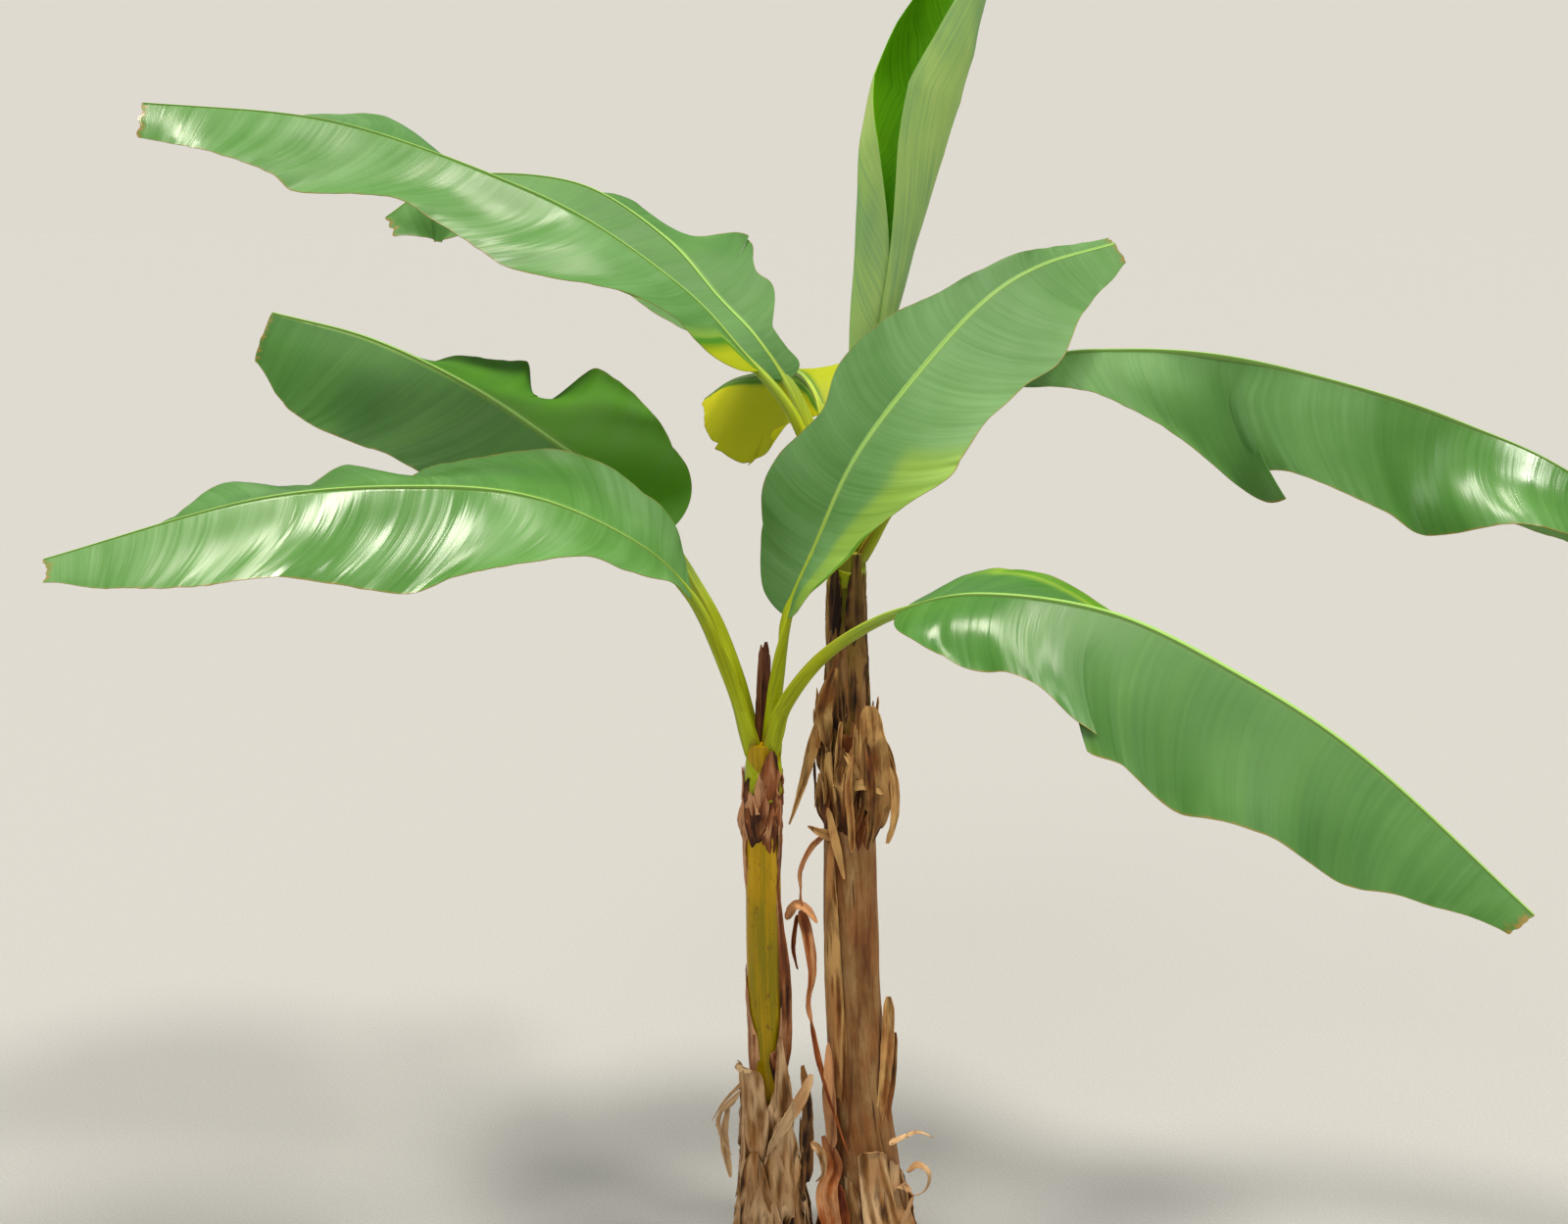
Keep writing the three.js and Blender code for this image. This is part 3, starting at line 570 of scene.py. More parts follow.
def blade_material(name, look, upper):
    """Living banana leaf: a waxy cuticle over green tissue that lets light through. The wax gives it a soft,
    broken gloss that follows the fine pleats; the underside is paler and duller."""
    material, node = new_material(name)
    flat = node("pattern")
    share_along, share_across, glow = node("axes", node("leaf_place"))

    # Streaks run along the veins, across the blade.
    fine = grain(node, flat, (look.vein_spacing, 0.2, 1))
    wide = grain(node, flat, (look.pleat_spacing * 2, 0.4, 1))
    cloud = grain(node, node("object"), (0.16, 0.16, 0.16), 3)
    share = node("mix", 0.5, node("mix", 0.5, fine, wide), cloud)
    # The tint darkens or pales the whole blade: the leaf's own tone, and painted shade where a leaf lies in
    # shadow.
    share = node("multiply_add", node("subtract", node("tint"), 0.5), 0.5, share)
    body = node("ramp", share, [(0.25, look.deep), (0.5, look.upper), (0.75, look.pale)])
    if not upper:
        body = node("mix", 0.75, body, look.under)
    # Painted backlight: where a glow is set, the blade's colour turns towards pale, fresh and yellow greens,
    # as if light came through it.
    painted_backlight_share = node("multiply", glow, node("ramp", wide, [(0.3, 1.4), (0.7, 2.2)]))
    lit = node("ramp", glow, [(0.3, look.faint), (0.42, look.fresh), (0.55, look.fresh), (0.95, look.yellow)])
    skin = node("mix", painted_backlight_share, body, lit)
    skin = overlaid(node, skin, look.rib, share_across, [(0.015, 0.5), (0.06, 0.0)])

    # The rim is a thin dry line, broken and wider towards the tip.
    flecks = node("subtract", grain(node, flat, (0.018, 0.006, 1), 3), 0.5)
    rim = node("ramp", node("multiply_add", flecks, 0.03, share_across), [(0.986, 0.0), (0.998, 0.8)])
    tip = node("ramp", node("multiply_add", flecks, 0.06, share_along), [(0.99, 0.0), (1.0, 0.9)])
    skin = node("mix", node("lighten", 1.0, rim, tip), skin, look.rim)

    rough = node("ramp", wide, [(0.3, 0.16), (0.7, 0.3)] if upper else [(0.3, 0.5), (0.7, 0.6)])
    rough = node("multiply_add", node("subtract", 1.0, node("wax")), 0.45, rough)
    normal = node("bump", node("mix", 0.3, fine, wide), look.pleat_height * 2, 0.6)
    shell = node("shell", skin, rough, 0.5 if upper else 0.4, LEAF_IOR, normal)
    through = node("light_through", node("mix", 0.5, skin, look.through), normal)
    node("output", node("shader_mix", node("multiply_add", glow, 0.2, 0.4), shell, through))
    return material


def stalk_material(name, look):
    """Fleshy living stalk and rib: smooth, slightly waxy, with faint lines along it and reddish margins
    near its foot."""
    material, node = new_material(name)
    flat = node("pattern")
    reach = node("axes", flat)[0]
    lines = grain(node, flat, (0.25, 0.0035, 1))
    cloud = grain(node, flat, (0.12, 0.02, 1), 3)
    uneven = node("mix", 0.5, lines, cloud)
    skin = node("ramp", uneven, [(0.3, "6A7208"), (0.5, look.stalk), (0.72, "BCC830")])
    skin = overlaid(node, skin, look.rib, node("multiply", reach, 2.2), [(0.4, 0.0), (0.9, 1.0)])
    foot = node("ramp", node("multiply_add", cloud, 0.12, reach), [(0.05, 1.0), (0.13, 0.0)])
    worn = node("multiply_add_to_one", foot, 0.7, node("tint"))
    worn = node("multiply", worn, node("ramp", cloud, [(0.4, 0.0), (0.56, 1.0)]))
    skin = node("mix", worn, skin, "6E3A1E")
    rough = node("ramp", cloud, [(0.3, 0.36), (0.7, 0.5)])
    normal = node("bump", lines, 0.6 * MM, 0.6)
    node("output", node("shell", skin, rough, 0.2, LEAF_IOR, normal, 0.12, (0.6, 0.8, 0.2), 3 * MM))
    return material


def dry_material(name, dark, middle, pale, red=None, red_share=0.5, living=None, streak=9 * MM):
    """Dead banana sheath: long soft streaks of papery fibre, stained brown in patches, and darker or paler as
    its tint says, which holds painted shade in the hollows of a sheet's folds and is paler where it curls up.
    Dull, with a little sheen on the fibres. living is (height, colour): green tissue above it."""
    material, node = new_material(name)
    flat = node("pattern")
    place = node("object")
    streaks = grain(node, flat, (0.2, streak, 1))
    fibres = grain(node, flat, (0.1, streak * 0.2, 1), 3, 0.6)
    blotches = grain(node, place, (0.022, 0.022, 0.06), 4, 0.6)
    mottle = grain(node, place, (0.007, 0.007, 0.02), 5, 0.65)
    share = node("mix", 0.3, node("mix", 0.45, streaks, blotches), node("mix", 0.5, fibres, mottle))
    share = node("multiply_add", node("subtract", node("tint"), 0.5), 0.6, share)
    skin = node("ramp", share, [(0.34, dark), (0.48, middle), (0.68, pale)])
    if red is not None:
        blush = grain(node, place, (0.04, 0.04, 0.1))
        skin = overlaid(node, skin, red, blush, [(0.45, 0.0), (0.62, red_share)])
    stains = grain(node, place, (0.012, 0.012, 0.12), 4, 0.6, 0.3)
    skin = overlaid(node, skin, dark, stains, [(0.54, 0.0), (0.7, 0.75)])
    cracks = grain(node, flat, (0.14, streak * 0.5, 1))
    skin = overlaid(node, skin, tuple(c * 0.4 for c in linear(dark)), cracks, [(0.3, 0.7), (0.36, 0.0)])
    if living is not None:
        height, shade = living
        above = node("subtract", node("multiply_add", streaks, 0.2, node("axes", place)[2]), height)
        skin = overlaid(node, skin, shade, node("multiply", above, 8), [(0.2, 0.0), (0.6, 0.85)])
    rough = node("ramp", streaks, [(0.3, 0.6), (0.7, 0.82)])
    normal = node("bump", node("mix", 0.4, streaks, fibres), 2.2 * MM, 0.8)
    node("output", node("shell", skin, rough, 0.3, DRY_IOR, normal))
    return material


def live_sheath_material(name, look):
    """Living sheath of the stem: smooth and waxy, mustard yellow to olive, with brown specks and long
    bruises."""
    material, node = new_material(name)
    place = node("object")
    lines = grain(node, node("pattern"), (0.3, 0.004, 1))
    cloud = grain(node, place, (0.03, 0.03, 0.14), 3)
    skin = node("ramp", node("mix", 0.6, lines, cloud),
                [(0.36, look.olive), (0.5, look.mustard), (0.66, "C89C14")])
    bruises = grain(node, place, (0.009, 0.009, 0.03), 3, 0.6)
    skin = overlaid(node, skin, "6E4318", bruises, [(0.6, 0.0), (0.7, 0.8)])
    specks = node("cells", measured(node, place, (0.008, 0.008, 0.012)), 1, 1)
    skin = overlaid(node, skin, "4A2A12", specks, [(0.06, 0.8), (0.12, 0.0)])
    rough = node("ramp", cloud, [(0.3, 0.34), (0.7, 0.5)])
    node("output", node("shell", skin, rough, 0.25, LEAF_IOR, node("bump", lines, 0.8 * MM, 0.5)))
    return material


def rolled_material(name, body, warm, cool, through):
    """Young blade that has not yet opened: thin, satin and pale, so that light comes through it."""
    material, node = new_material(name)
    fine = grain(node, node("pattern"), (0.16, 0.004, 1))
    cloud = grain(node, node("object"), (0.09, 0.09, 0.3), 3)
    skin = node("ramp", node("mix", 0.65, fine, cloud), [(0.36, cool), (0.5, body), (0.66, warm)])
    normal = node("bump", fine, 0.6 * MM, 0.4)
    shell = node("shell", skin, node("ramp", cloud, [(0.3, 0.38), (0.7, 0.5)]), 0.5, LEAF_IOR, normal)
    light = node("light_through", node("mix", 0.4, skin, through), normal)
    node("output", node("shader_mix", 0.35, shell, light))
    return material


def floor_material(name, shade):
    """Matt floor with a fine grain."""
    material, node = new_material(name)
    speckle = grain(node, node("object"), (0.004, 0.004, 0.004))
    skin = overlaid(node, shade, "FFFFFF", speckle, [(0.3, 0.0), (0.7, 0.06)])
    node("output", node("shell", skin, 0.8, 0.1))
    return material


# Leaf blades.

BLADE_ROWS = 230
BLADE_COLUMNS = 36
ROW_CROWDING = 1.3  # rows crowd towards the stalk, where the outline turns fastest
HANG_INNER = 0.2  # a half blade waves from here outwards, as a share of its width
SLIDE_SHARE = 0.35  # a flap has slid all its way at this share of its split
ON_ROW = 1e-4  # a point this close to a row of the grid lies on it
RIB_CALM = 0.12  # the pleats die away towards the rib from here
FINE_SPACING = 0.42  # of the finer pleats, as a share of the others'
FINE_HEIGHT = 0.5
WAVES_FROM = 0.06  # a blade waves from this share of its length, and less from the next one to its tip
WAVES_TO = 0.85
TIP_CALM = 0.4
FINE_WAVES = 0.35  # height of the finer waves, as a share of the others'
MARGIN = 0.86  # the very margin of a half blade starts here
FRILL = 1.6 * MM  # height of the fine waves of the margin
FRILL_LENGTH = 20 * MM
TIP = 0.97  # the ragged tip starts at this share of the length
NOTCH = (3 * MM, 5 * MM)  # how deep the tip is cut back, and how much that varies


def blade_width(widths, t):
    """Width of a half blade at share t: a quarter round at the stalk, then even steps to the tip."""
    share = t * (len(widths) - 1)
    if share >= 1:
        return along(widths, t) * MM
    return mix(widths[0], widths[1], math.sqrt(1 - (1 - share) ** 2)) * MM


def turned(side, up, angle):
    """The two directions across a limb, turned about it."""
    return side * math.cos(angle) + up * math.sin(angle), up * math.cos(angle) - side * math.sin(angle)


def blade_place(leaf, limb, look, seed):
    """Where a point of a blade goes. u runs from stalk to tip, v from the right margin to the left."""
    start = leaf["stalk"] * MM
    blade_length = limb.length - start
    roll = math.radians(leaf.get("roll", 0))
    trims = leaf.get("trim", {})
    hangs = leaf.get("hang", {})

    def place(u, v, later):
        t = u ** ROW_CROWDING
        at, forward, side, up = limb.frame(start + t * blade_length)
        side, up = turned(side, up, roll)
        c = 1 - 2 * v
        name = "left" if c < 0 else "right"
        way = -1 if c < 0 else 1
        c = abs(c)
        widths, folds, curl = leaf[name]
        width = blade_width(widths, t)
        if name in trims:
            width += along(trims[name], t) * MM
        fold = math.radians(along(folds, t))
        curl = math.radians(curl)
        out = (math.sin(fold + curl * c) - math.sin(fold)) / curl
        rise = (math.cos(fold) - math.cos(fold + curl * c)) / curl
        slope = fold + curl * c
        walked = t * blade_length

        # The outer part hangs in waves, and the flaps at a split turn about the line where it starts.
        bends = []
        if name in hangs:
            hang = along(hangs[name], t)
            width += hang * MM
            bends.append((HANG_INNER, -HANG_TURN * hang))
        slid = 0.0
        for half, cut, inner, before, behind in leaf["splits"]:
            if half == name and c > inner:
                past = later > 0 if abs(t - cut) < MERGE else t > cut
                turn, wider, slide, reach = behind if past else before
                fade = 1 - smooth(0, reach, abs(t - cut))
                bends.append((inner, math.radians(turn) * fade))
                width += wider * MM * fade * smooth(inner, 1, c)
                slid += slide * MM * fade * smooth(inner, mix(inner, 1, SLIDE_SHARE), c)
        for inner, turn in bends:
            if c > inner:
                turn *= smooth(inner, 1, c)
                reach_out = c - inner
                out += (math.cos(slope + turn) - math.cos(slope)) * reach_out
                rise += (math.sin(slope + turn) - math.sin(slope)) * reach_out
                slope += turn

        # Soft pleats between the veins and slow waves along the margin.
        pleat = look.pleat_height * smooth(0, RIB_CALM, c) * (
            wobble(walked / look.pleat_spacing, c * 0.8, seed)
            + FINE_HEIGHT * wobble(walked / (look.pleat_spacing * FINE_SPACING), c * 1.4, seed + 3)
        )
        taper = smooth(0, WAVES_FROM, t) * (1 - TIP_CALM * smooth(WAVES_TO, 1, t))
        wave = look.wave_height * c ** 2 * taper * (
            wobble(walked / look.wave_length * 2, seed * 1.7 + way, c * 0.4)
            + FINE_WAVES * wobble(walked / look.wave_length * 6, seed + way * 2, c * 0.5)
        )
        frill = FRILL * smooth(MARGIN, 1, c) * taper * wobble(walked / FRILL_LENGTH, seed * 2.3 + way)
        across = side * way
        normal = up * math.cos(slope) - across * math.sin(slope)
        sweep = along(VEIN_SWEEP, t) * width * c * c
        notch = NOTCH[0] + NOTCH[1] * wobble(c * way * 5, seed * 3.1)
        notch *= smooth(TIP, 1, t) * smooth(0.05, 0.3, c)
        spot = (at + across * (width * out) + up * (width * rise) + forward * (sweep - notch + slid)
                + normal * (pleat + wave + frill))
        return spot, (walked, -way * width * c)

    return place


def translucency_and_painted_backlight_at(leaf, half, t, c):
    """How strongly light is painted coming through the blade there, 0 to 1. It also sets how much light the
    shader lets through.
    """
    strength = 0.0
    for name, t0, t1, c0, c1, amount in leaf.get("glow", []):
        if name == half:
            inside = smooth(t0, t0 + 0.06, t) * (1 - smooth(t1 - 0.06, t1, t))
            inside *= smooth(c0 - 0.1, c0 + 0.1, c) * (1 - smooth(c1, c1 + 0.1, c))
            strength = max(strength, amount * inside)
    return strength


def split_grid(piece, splits):
    """Cuts a blade's grid open along its splits. Says for each point if it lies before or behind a cut."""
    mesh = piece.data
    bpy.ops.object.mode_set(mode="EDIT")
    bpy.ops.mesh.select_mode(type="EDGE")
    bpy.ops.mesh.select_all(action="DESELECT")
    bpy.ops.object.mode_set(mode="OBJECT")
    for edge in mesh.edges:
        a, b = (mesh.vertices[i].co for i in edge.vertices)
        c = 1 - (a.y + b.y)
        for half, cut, inner, _, _ in splits:
            row = cut ** (1 / ROW_CROWDING)
            on_row = abs(a.x - row) < ON_ROW and abs(b.x - row) < ON_ROW
            if on_row and (c < 0) == (half == "left") and abs(c) > inner:
                edge.select = True
    bpy.ops.object.mode_set(mode="EDIT")
    bpy.ops.mesh.edge_split(type="EDGE")
    bpy.ops.mesh.select_mode(type="VERT")
    bpy.ops.object.mode_set(mode="OBJECT")
    reach = [0.0] * len(mesh.vertices)
    for face in mesh.polygons:
        for i in face.vertices:
            reach[i] += face.center.x - mesh.vertices[i].co.x
    return reach


def snap_splits(leaf):
    """The leaf's splits, moved onto the nearest row of its grid."""
    rows = [(i / BLADE_ROWS) ** ROW_CROWDING for i in range(BLADE_ROWS + 1)]
    return [(half, min(rows, key=lambda row: abs(row - cut)), *rest)
            for half, cut, *rest in leaf.get("splits", [])]


class BANANA_OT_blades(bpy.types.Operator):
    """Builds the eight open leaf blades"""

    bl_idname = "banana.blades"
    bl_label = "Leaf Blades"

    def execute(self, context):
        look = context.scene.banana_blade
        upper = blade_material("living_banana_blade_upper_side", look, True)
        under = blade_material("living_banana_blade_underside", look, False)
        for seed, (name, leaf) in enumerate(LEAVES.items(), 1):
            limb = Limb(leaf["rib"])
            leaf = {**leaf, "splits": snap_splits(leaf)}
            piece = start_grid(f"{name}_blade", BLADE_ROWS, BLADE_COLUMNS)
            sides = split_grid(piece, leaf["splits"]) if leaf["splits"] else None
            marks = []
            for v in piece.data.vertices:
                t = v.co.x ** ROW_CROWDING
                c = 1 - 2 * v.co.y
                half = "left" if c < 0 else "right"
                marks.extend((t, abs(c), translucency_and_painted_backlight_at(leaf, half, t, abs(c))))
            shape_grid(piece, blade_place(leaf, limb, look, seed), sides)
            piece.data.attributes.new(PLACE, "FLOAT_VECTOR", "POINT").data.foreach_set("vector", marks)
            set_attribute(piece, TINT, leaf["tone_and_painted_shade"])
            set_attribute(piece, WAX, [along(leaf["wax"], t) for t in marks[::3]])
            piece.data.materials.append(upper)
            piece.data.materials.append(under)
            thicken(piece, look.thickness, 1)
            finish_piece(piece, f"leaf_{name}", "backlit_blade" if name == "back" else "blade", 80)
        return {"FINISHED"}


# Leaf stalks, which run on as the ribs of the blades.

STALK_ROWS = 150
STALK_SIDES = 28
GROOVE_EDGE = 0.35  # how high round a stalk the edges of its groove lie, 0 at its sides and 1 on top
GROOVE_DEPTH = 0.62  # as a share of a stalk's half width
STALK_CREST = 0.7
STALK_FOOT = 13 * MM
STALK_END = 9 * MM
SEAT_DEPTH = 12 * MM  # how far a stalk runs into its stem
RIB_SHORT = 2 * MM  # how far a rib ends before the tip
RIB_START = 5.8 * MM
RIB_TIP = 2.0 * MM
RIB_CREST = (1.0 * MM, 0.6 * MM)  # at the stalk and at the tip
RIB_GROOVE = 0.5 * MM
KEEL_FOOT = 11 * MM
KEEL_TIP = 3 * MM
RIB_BEFORE = 25 * MM  # a stalk becomes a rib from here before the blade to here along it
RIB_AFTER = 45 * MM
RIPPLE = 0.03
RIPPLE_LENGTH = 50 * MM


def stalk_place(leaf, limb, seed):
    """Where a point of a stalk goes. u runs from inside the stem to the tip, v once round."""
    bare = leaf["stalk"] * MM
    roll = math.radians(leaf.get("roll", 0))
    whole = limb.length + SEAT_DEPTH - RIB_SHORT

    def place(u, v, _):
        s = u * whole - SEAT_DEPTH
        at, _, side, up = limb.frame(s)
        side, up = turned(side, up, roll * smooth(bare * 0.45, bare, s))
        angle = -2 * math.pi * v
        flat = math.cos(angle)
        tall = math.sin(angle)
        on_blade = smooth(bare - RIB_BEFORE, bare + RIB_AFTER, s)
        t = held((s - bare) / (limb.length - bare))
        stalk_half = mix(STALK_FOOT, STALK_END, held(s / bare))
        rib_half = mix(RIB_START, RIB_TIP, t ** 0.8)
        half = mix(stalk_half, rib_half, on_blade)
        keel = mix(stalk_half, mix(KEEL_FOOT, KEEL_TIP, t), on_blade)
        crest = mix(stalk_half * STALK_CREST, mix(*RIB_CREST, t), on_blade)
        groove = mix(stalk_half * GROOVE_DEPTH, RIB_GROOVE, on_blade)
        if tall > 0:
            rise = crest * tall ** 0.6 - groove * math.exp(-(flat / 0.5) ** 2) * smooth(0, 0.5, tall)
        else:
            rise = keel * tall
        ripple = 1 + RIPPLE * wobble(s / RIPPLE_LENGTH, flat * 1.5, tall * 1.5 + seed * 5)
        spot = at + side * (half * flat * ripple) + up * (rise * ripple)
        return spot, (s, v * 2 * math.pi * stalk_half)

    return place


class BANANA_OT_stalks(bpy.types.Operator):
    """Builds the eight leaf stalks with their ribs"""

    bl_idname = "banana.stalks"
    bl_label = "Leaf Stalks and Ribs"

    def execute(self, context):
        look = context.scene.banana_blade
        flesh = stalk_material("living_banana_stalk_and_rib", look)
        for seed, (name, leaf) in enumerate(LEAVES.items(), 1):
            limb = Limb(leaf["rib"])
            piece = start_grid(f"{name}_stalk_and_rib", STALK_ROWS, STALK_SIDES)
            bare = leaf["stalk"] * MM / limb.length
            worn = [
                math.exp(-((math.sin(-2 * math.pi * v.co.y) - GROOVE_EDGE) / 0.12) ** 2)
                * (1 - smooth(bare * 0.5, bare, v.co.x))
                for v in piece.data.vertices
            ]
            shape_grid(piece, stalk_place(leaf, limb, seed))
            set_attribute(piece, TINT, worn)
            close_tube(piece)
            piece.data.materials.append(flesh)
            finish_piece(piece, f"stalk_{name}", "stalk", 50)
        return {"FINISHED"}


# The rolled leaf.

ROLL_ROWS = 110
ROLL_SIDES = 64
ROLL_NESTED = 0.10  # how much smaller the roll is at its inner margin than at its outer one
ROLL_LIP = 0.06  # share of the roll's width at each margin that flares
ROLL_FLARE = 0.03
ROLL_UNEVEN = 0.02


class BANANA_OT_rolled_leaf(bpy.types.Operator):
    """Builds the youngest leaf, a scroll that has begun to open"""

    bl_idname = "banana.rolled_leaf"
    bl_label = "Rolled Leaf"

    def execute(self, context):
        look = context.scene.banana_rolled
        through = context.scene.banana_blade.through
        limb = Limb([row[0] for row in ROLLED_LEAF])
        steps = range(limb.STEPS + 1)
        lengths = []
        for row in ROLLED_LEAF:
            spot = Vector(row[0]) * MM
            nearest = min(steps, key=lambda i: (limb.point(i / limb.STEPS) - spot).length)
            lengths.append(limb.walk[nearest])

        def place(u, v, _):
            s = u * limb.length
            at, forward, _, _ = limb.frame(s)
            front = (Vector((0, -1, 0)) + forward * forward.y).normalized()
            side = front.cross(forward).normalized()
            if side.x < 0:
                side = -side
            i, share = span_at(lengths, s)
            rows = zip(ROLLED_LEAF[i][1:], ROLLED_LEAF[i + 1][1:])
            radius, start, end = (mix(a, b, share) for a, b in rows)
            radius *= MM
            span = start + 360 - end
            w = 1 - v
            turn = math.radians(start - w * span)
            radius *= 1 - ROLL_NESTED * smooth(0.55, 1, w)
            lip = smooth(0.0, ROLL_LIP, w) * smooth(0.0, ROLL_LIP, 1 - w)
            radius *= 1 + ROLL_UNEVEN * wobble(s / 0.06, w * 4, 2.0) + ROLL_FLARE * (1 - lip)
            spot = at + side * (radius * math.cos(turn)) + front * (radius * ROLL_DEPTH * math.sin(turn))
            return spot, (s, w * math.radians(span) * radius)

        piece = start_grid("rolled_leaf_scroll", ROLL_ROWS, ROLL_SIDES)
        shape_grid(piece, place)
        for side, body, warm, cool in (("outside", look.outside, "D3E28A", "8DB97C"),
                                       ("inside", look.inside, "9AD22C", "5C9C12")):
            surface = rolled_material("young_banana_blade_" + side, body, warm, cool, through)
            piece.data.materials.append(surface)
        thicken(piece, look.thickness, 1)
        finish_piece(piece, "rolled_leaf", "rolled_blade", 80)
        return {"FINISHED"}


# Stems.

STEM_ROWS = 220
STEM_SIDES = 100
LIVING_ABOVE = 1.04  # height in metres from which the taller stem is green
STEM_WEAVE = 0.35  # how far the sheaths' edges wander round a stem, in radians
STEM_RELIEF = (
    # height as a share of the ridges', width and length: fibres, and threads
    (0.5, 9 * MM, 110 * MM),
    (0.2, 3.5 * MM, 50 * MM),
)
CLASP_GRID = (44, 20)
CLASP_WALL = 1.4 * MM
CLASP_TOP = 0.72  # share of a clasp that lies below the foot of its stalk
CLASP_REACH = 70 * MM  # how far a clasp runs up its stalk
CLASP_SPREAD = (0.62 * math.pi, 0.3 * math.pi)  # how far it reaches round the stem, from its foot to its top
CLASP_NOTCH = 0.12  # how much lower its side edges start, as a share of its drop
CLASP_STAND = (1.5 * MM, 0.8 * MM)  # how far it stands off the stem, and how much more each next one does
CLASP_COVER = (1.6 * MM, -2.5 * MM)  # how far it stands off its stalk; it ends inside the stalk
CLASP_PASSES = (0.45, 0.85)  # from here to here up a clasp it passes from the stem to the stalk
CLASP_PATTERN = (0.16, 0.08)  # length and width that its pattern takes


def stem_skin(name, stem, layers, twist, ridge):
    """A stem's own skin: long fibres and the overlapped edges of its sheaths."""
    seed = layers * 1.7

    def place(u, v, _):
        z = u * stem.top
        angle = -2 * math.pi * v
        step = ((angle + z * twist + STEM_WEAVE * wobble(z / 0.14, seed)) / (2 * math.pi) * layers) % 1
        relief = smooth(0, 0.07, step) - step
        x = math.cos(angle)
        y = math.sin(angle)
        relief += 0.9 * wobble(x * 1.3, y * 1.3, z / 0.12 + seed * 2)
        girth = stem.at(z)[2]
        for height, wide, long in STEM_RELIEF:
            relief += height * wobble(x * girth / wide, y * girth / wide, z / long + seed)
        return stem.surface(angle, z, ridge * relief), (z, v * 2 * math.pi * girth)

    return close_tube(shape_grid(start_grid(name, STEM_ROWS, STEM_SIDES), place))


def clasp(stem, limb, drop, seed):
    """The foot of a stalk, which widens into a living sheath that clasps the stem."""
    foot = limb.point(0)
    x, y, _ = stem.at(stem.top)
    facing = math.atan2(foot.y - y, foot.x - x)

    def place(u, v, _):
        z = stem.top - drop + u * (drop + 1 * MM)
        spread = mix(*CLASP_SPREAD, smooth(0, 1, u))
        angle = facing + (1 - 2 * v) * spread
        notch = smooth(0.5, 1, abs(1 - 2 * v))
        stand = CLASP_STAND[0] + CLASP_STAND[1] * seed
        low = stem.surface(angle, z - notch * drop * CLASP_NOTCH, stand)
        s = (u - CLASP_TOP) / (1 - CLASP_TOP) * CLASP_REACH
        at, _, side, up = limb.frame(max(s, -SEAT_DEPTH))
        arc = -math.pi * (0.02 + 0.96 * v)
        half = STALK_FOOT + mix(*CLASP_COVER, smooth(0.7, 1, u))
        high = at + side * (half * math.cos(arc)) + up * (half * math.sin(arc))
        spot = low.lerp(high, smooth(*CLASP_PASSES, u))
        return spot, (u * CLASP_PATTERN[0], v * CLASP_PATTERN[1])

    piece = start_grid("clasp", *CLASP_GRID)
    return thicken(shape_grid(piece, place), CLASP_WALL)


class BANANA_OT_stems(bpy.types.Operator):
    """Builds the two stems with the living sheaths at their tops"""

    bl_idname = "banana.stems"
    bl_label = "Stems"

    def execute(self, context):
        look = context.scene.banana_stem
        blade = context.scene.banana_blade
        weathered = dry_material("weathered_banana_stem", look.brown, look.tan, look.grey, "8E5426", 0.45,
                                 (LIVING_ABOVE, "8A8C1E"), look.streak_width)
        living = live_sheath_material("living_banana_stem_sheath", look)
        flesh = stalk_material("living_banana_clasping_sheath", blade)
        for node, skin, layers, twist, ridge, drop, slot in (
            ("pseudostem_tall", weathered, 5, 1.4, look.ridge_height, 45 * MM, "aged_stem"),
            ("pseudostem_short", living, 3, 2.2, 0.9 * MM, 75 * MM, "live_stem"),
        ):
            stem = Stem(node)
            shaft = stem_skin(node + "_skin", stem, layers, twist, ridge)
            set_attribute(shaft, TINT, 0.5)
            shaft.data.materials.append(skin)
            parts = [shaft]
            limbs = [Limb(leaf["rib"]) for leaf in LEAVES.values()]
            for seed, limb in enumerate(limb for limb in limbs if abs(limb.point(0).z - stem.top) < MM):
                part = clasp(stem, limb, drop, seed)
                set_attribute(part, TINT, 0.0)
                part.data.materials.append(flesh)
                parts.append(part)
            finish_piece(joined(parts, node + "_skin"), node, slot, 60)
        return {"FINISHED"}


# Dry sheaths.

SHEET_GRID = (36, 20)  # rows and columns of a sheath's sheet
RIBBON_GRID = (46, 10)
WISP_GRID = (30, 6)
SHEET_WALL = 1.2 * MM
RIBBON_WALL = 1.0 * MM
FOLD_SIZE = (13 * MM, 80 * MM)  # width and length of a sheet's folds, and then of the fine crinkles on them
CRINKLE_SIZE = (5 * MM, 60 * MM)
CRINKLE_HEIGHT = 0.35  # as a share of the folds'
SIDE_ROLL = 5 * MM  # radius to which a sheet's side edges roll up
ROUND_END = 0.1  # share of a strip over which its end is rounded
SINK = 3 * MM  # a sheet's lower end lies this deep in the skin that it grows from
FOOT_POINT = 0.3  # how far up a sheet's lower corners lie, as a share of its height
GROUNDED = 30 * MM  # a sheet that starts below this stands on the ground, with a straight lower end
FLOOR_GAP = 1.2 * MM  # no sheet comes nearer to the ground, so that its thickness stays above it
BLEACHED = ("2A170E", "8A6034", "CEA87C", "A06A34", 0.6)  # a sun-bleached sheath, as dry_material takes it
SLANT = 0.03  # how unevenly high the two sides of a sheet in a ring are, at most
WISPS = 7  # thin loose strips on the left of the skirt
STUB_SHELLS = 5  # dead sheaths round the stub of an old stalk
STUB_RADIUS = 6.5  # in millimetres


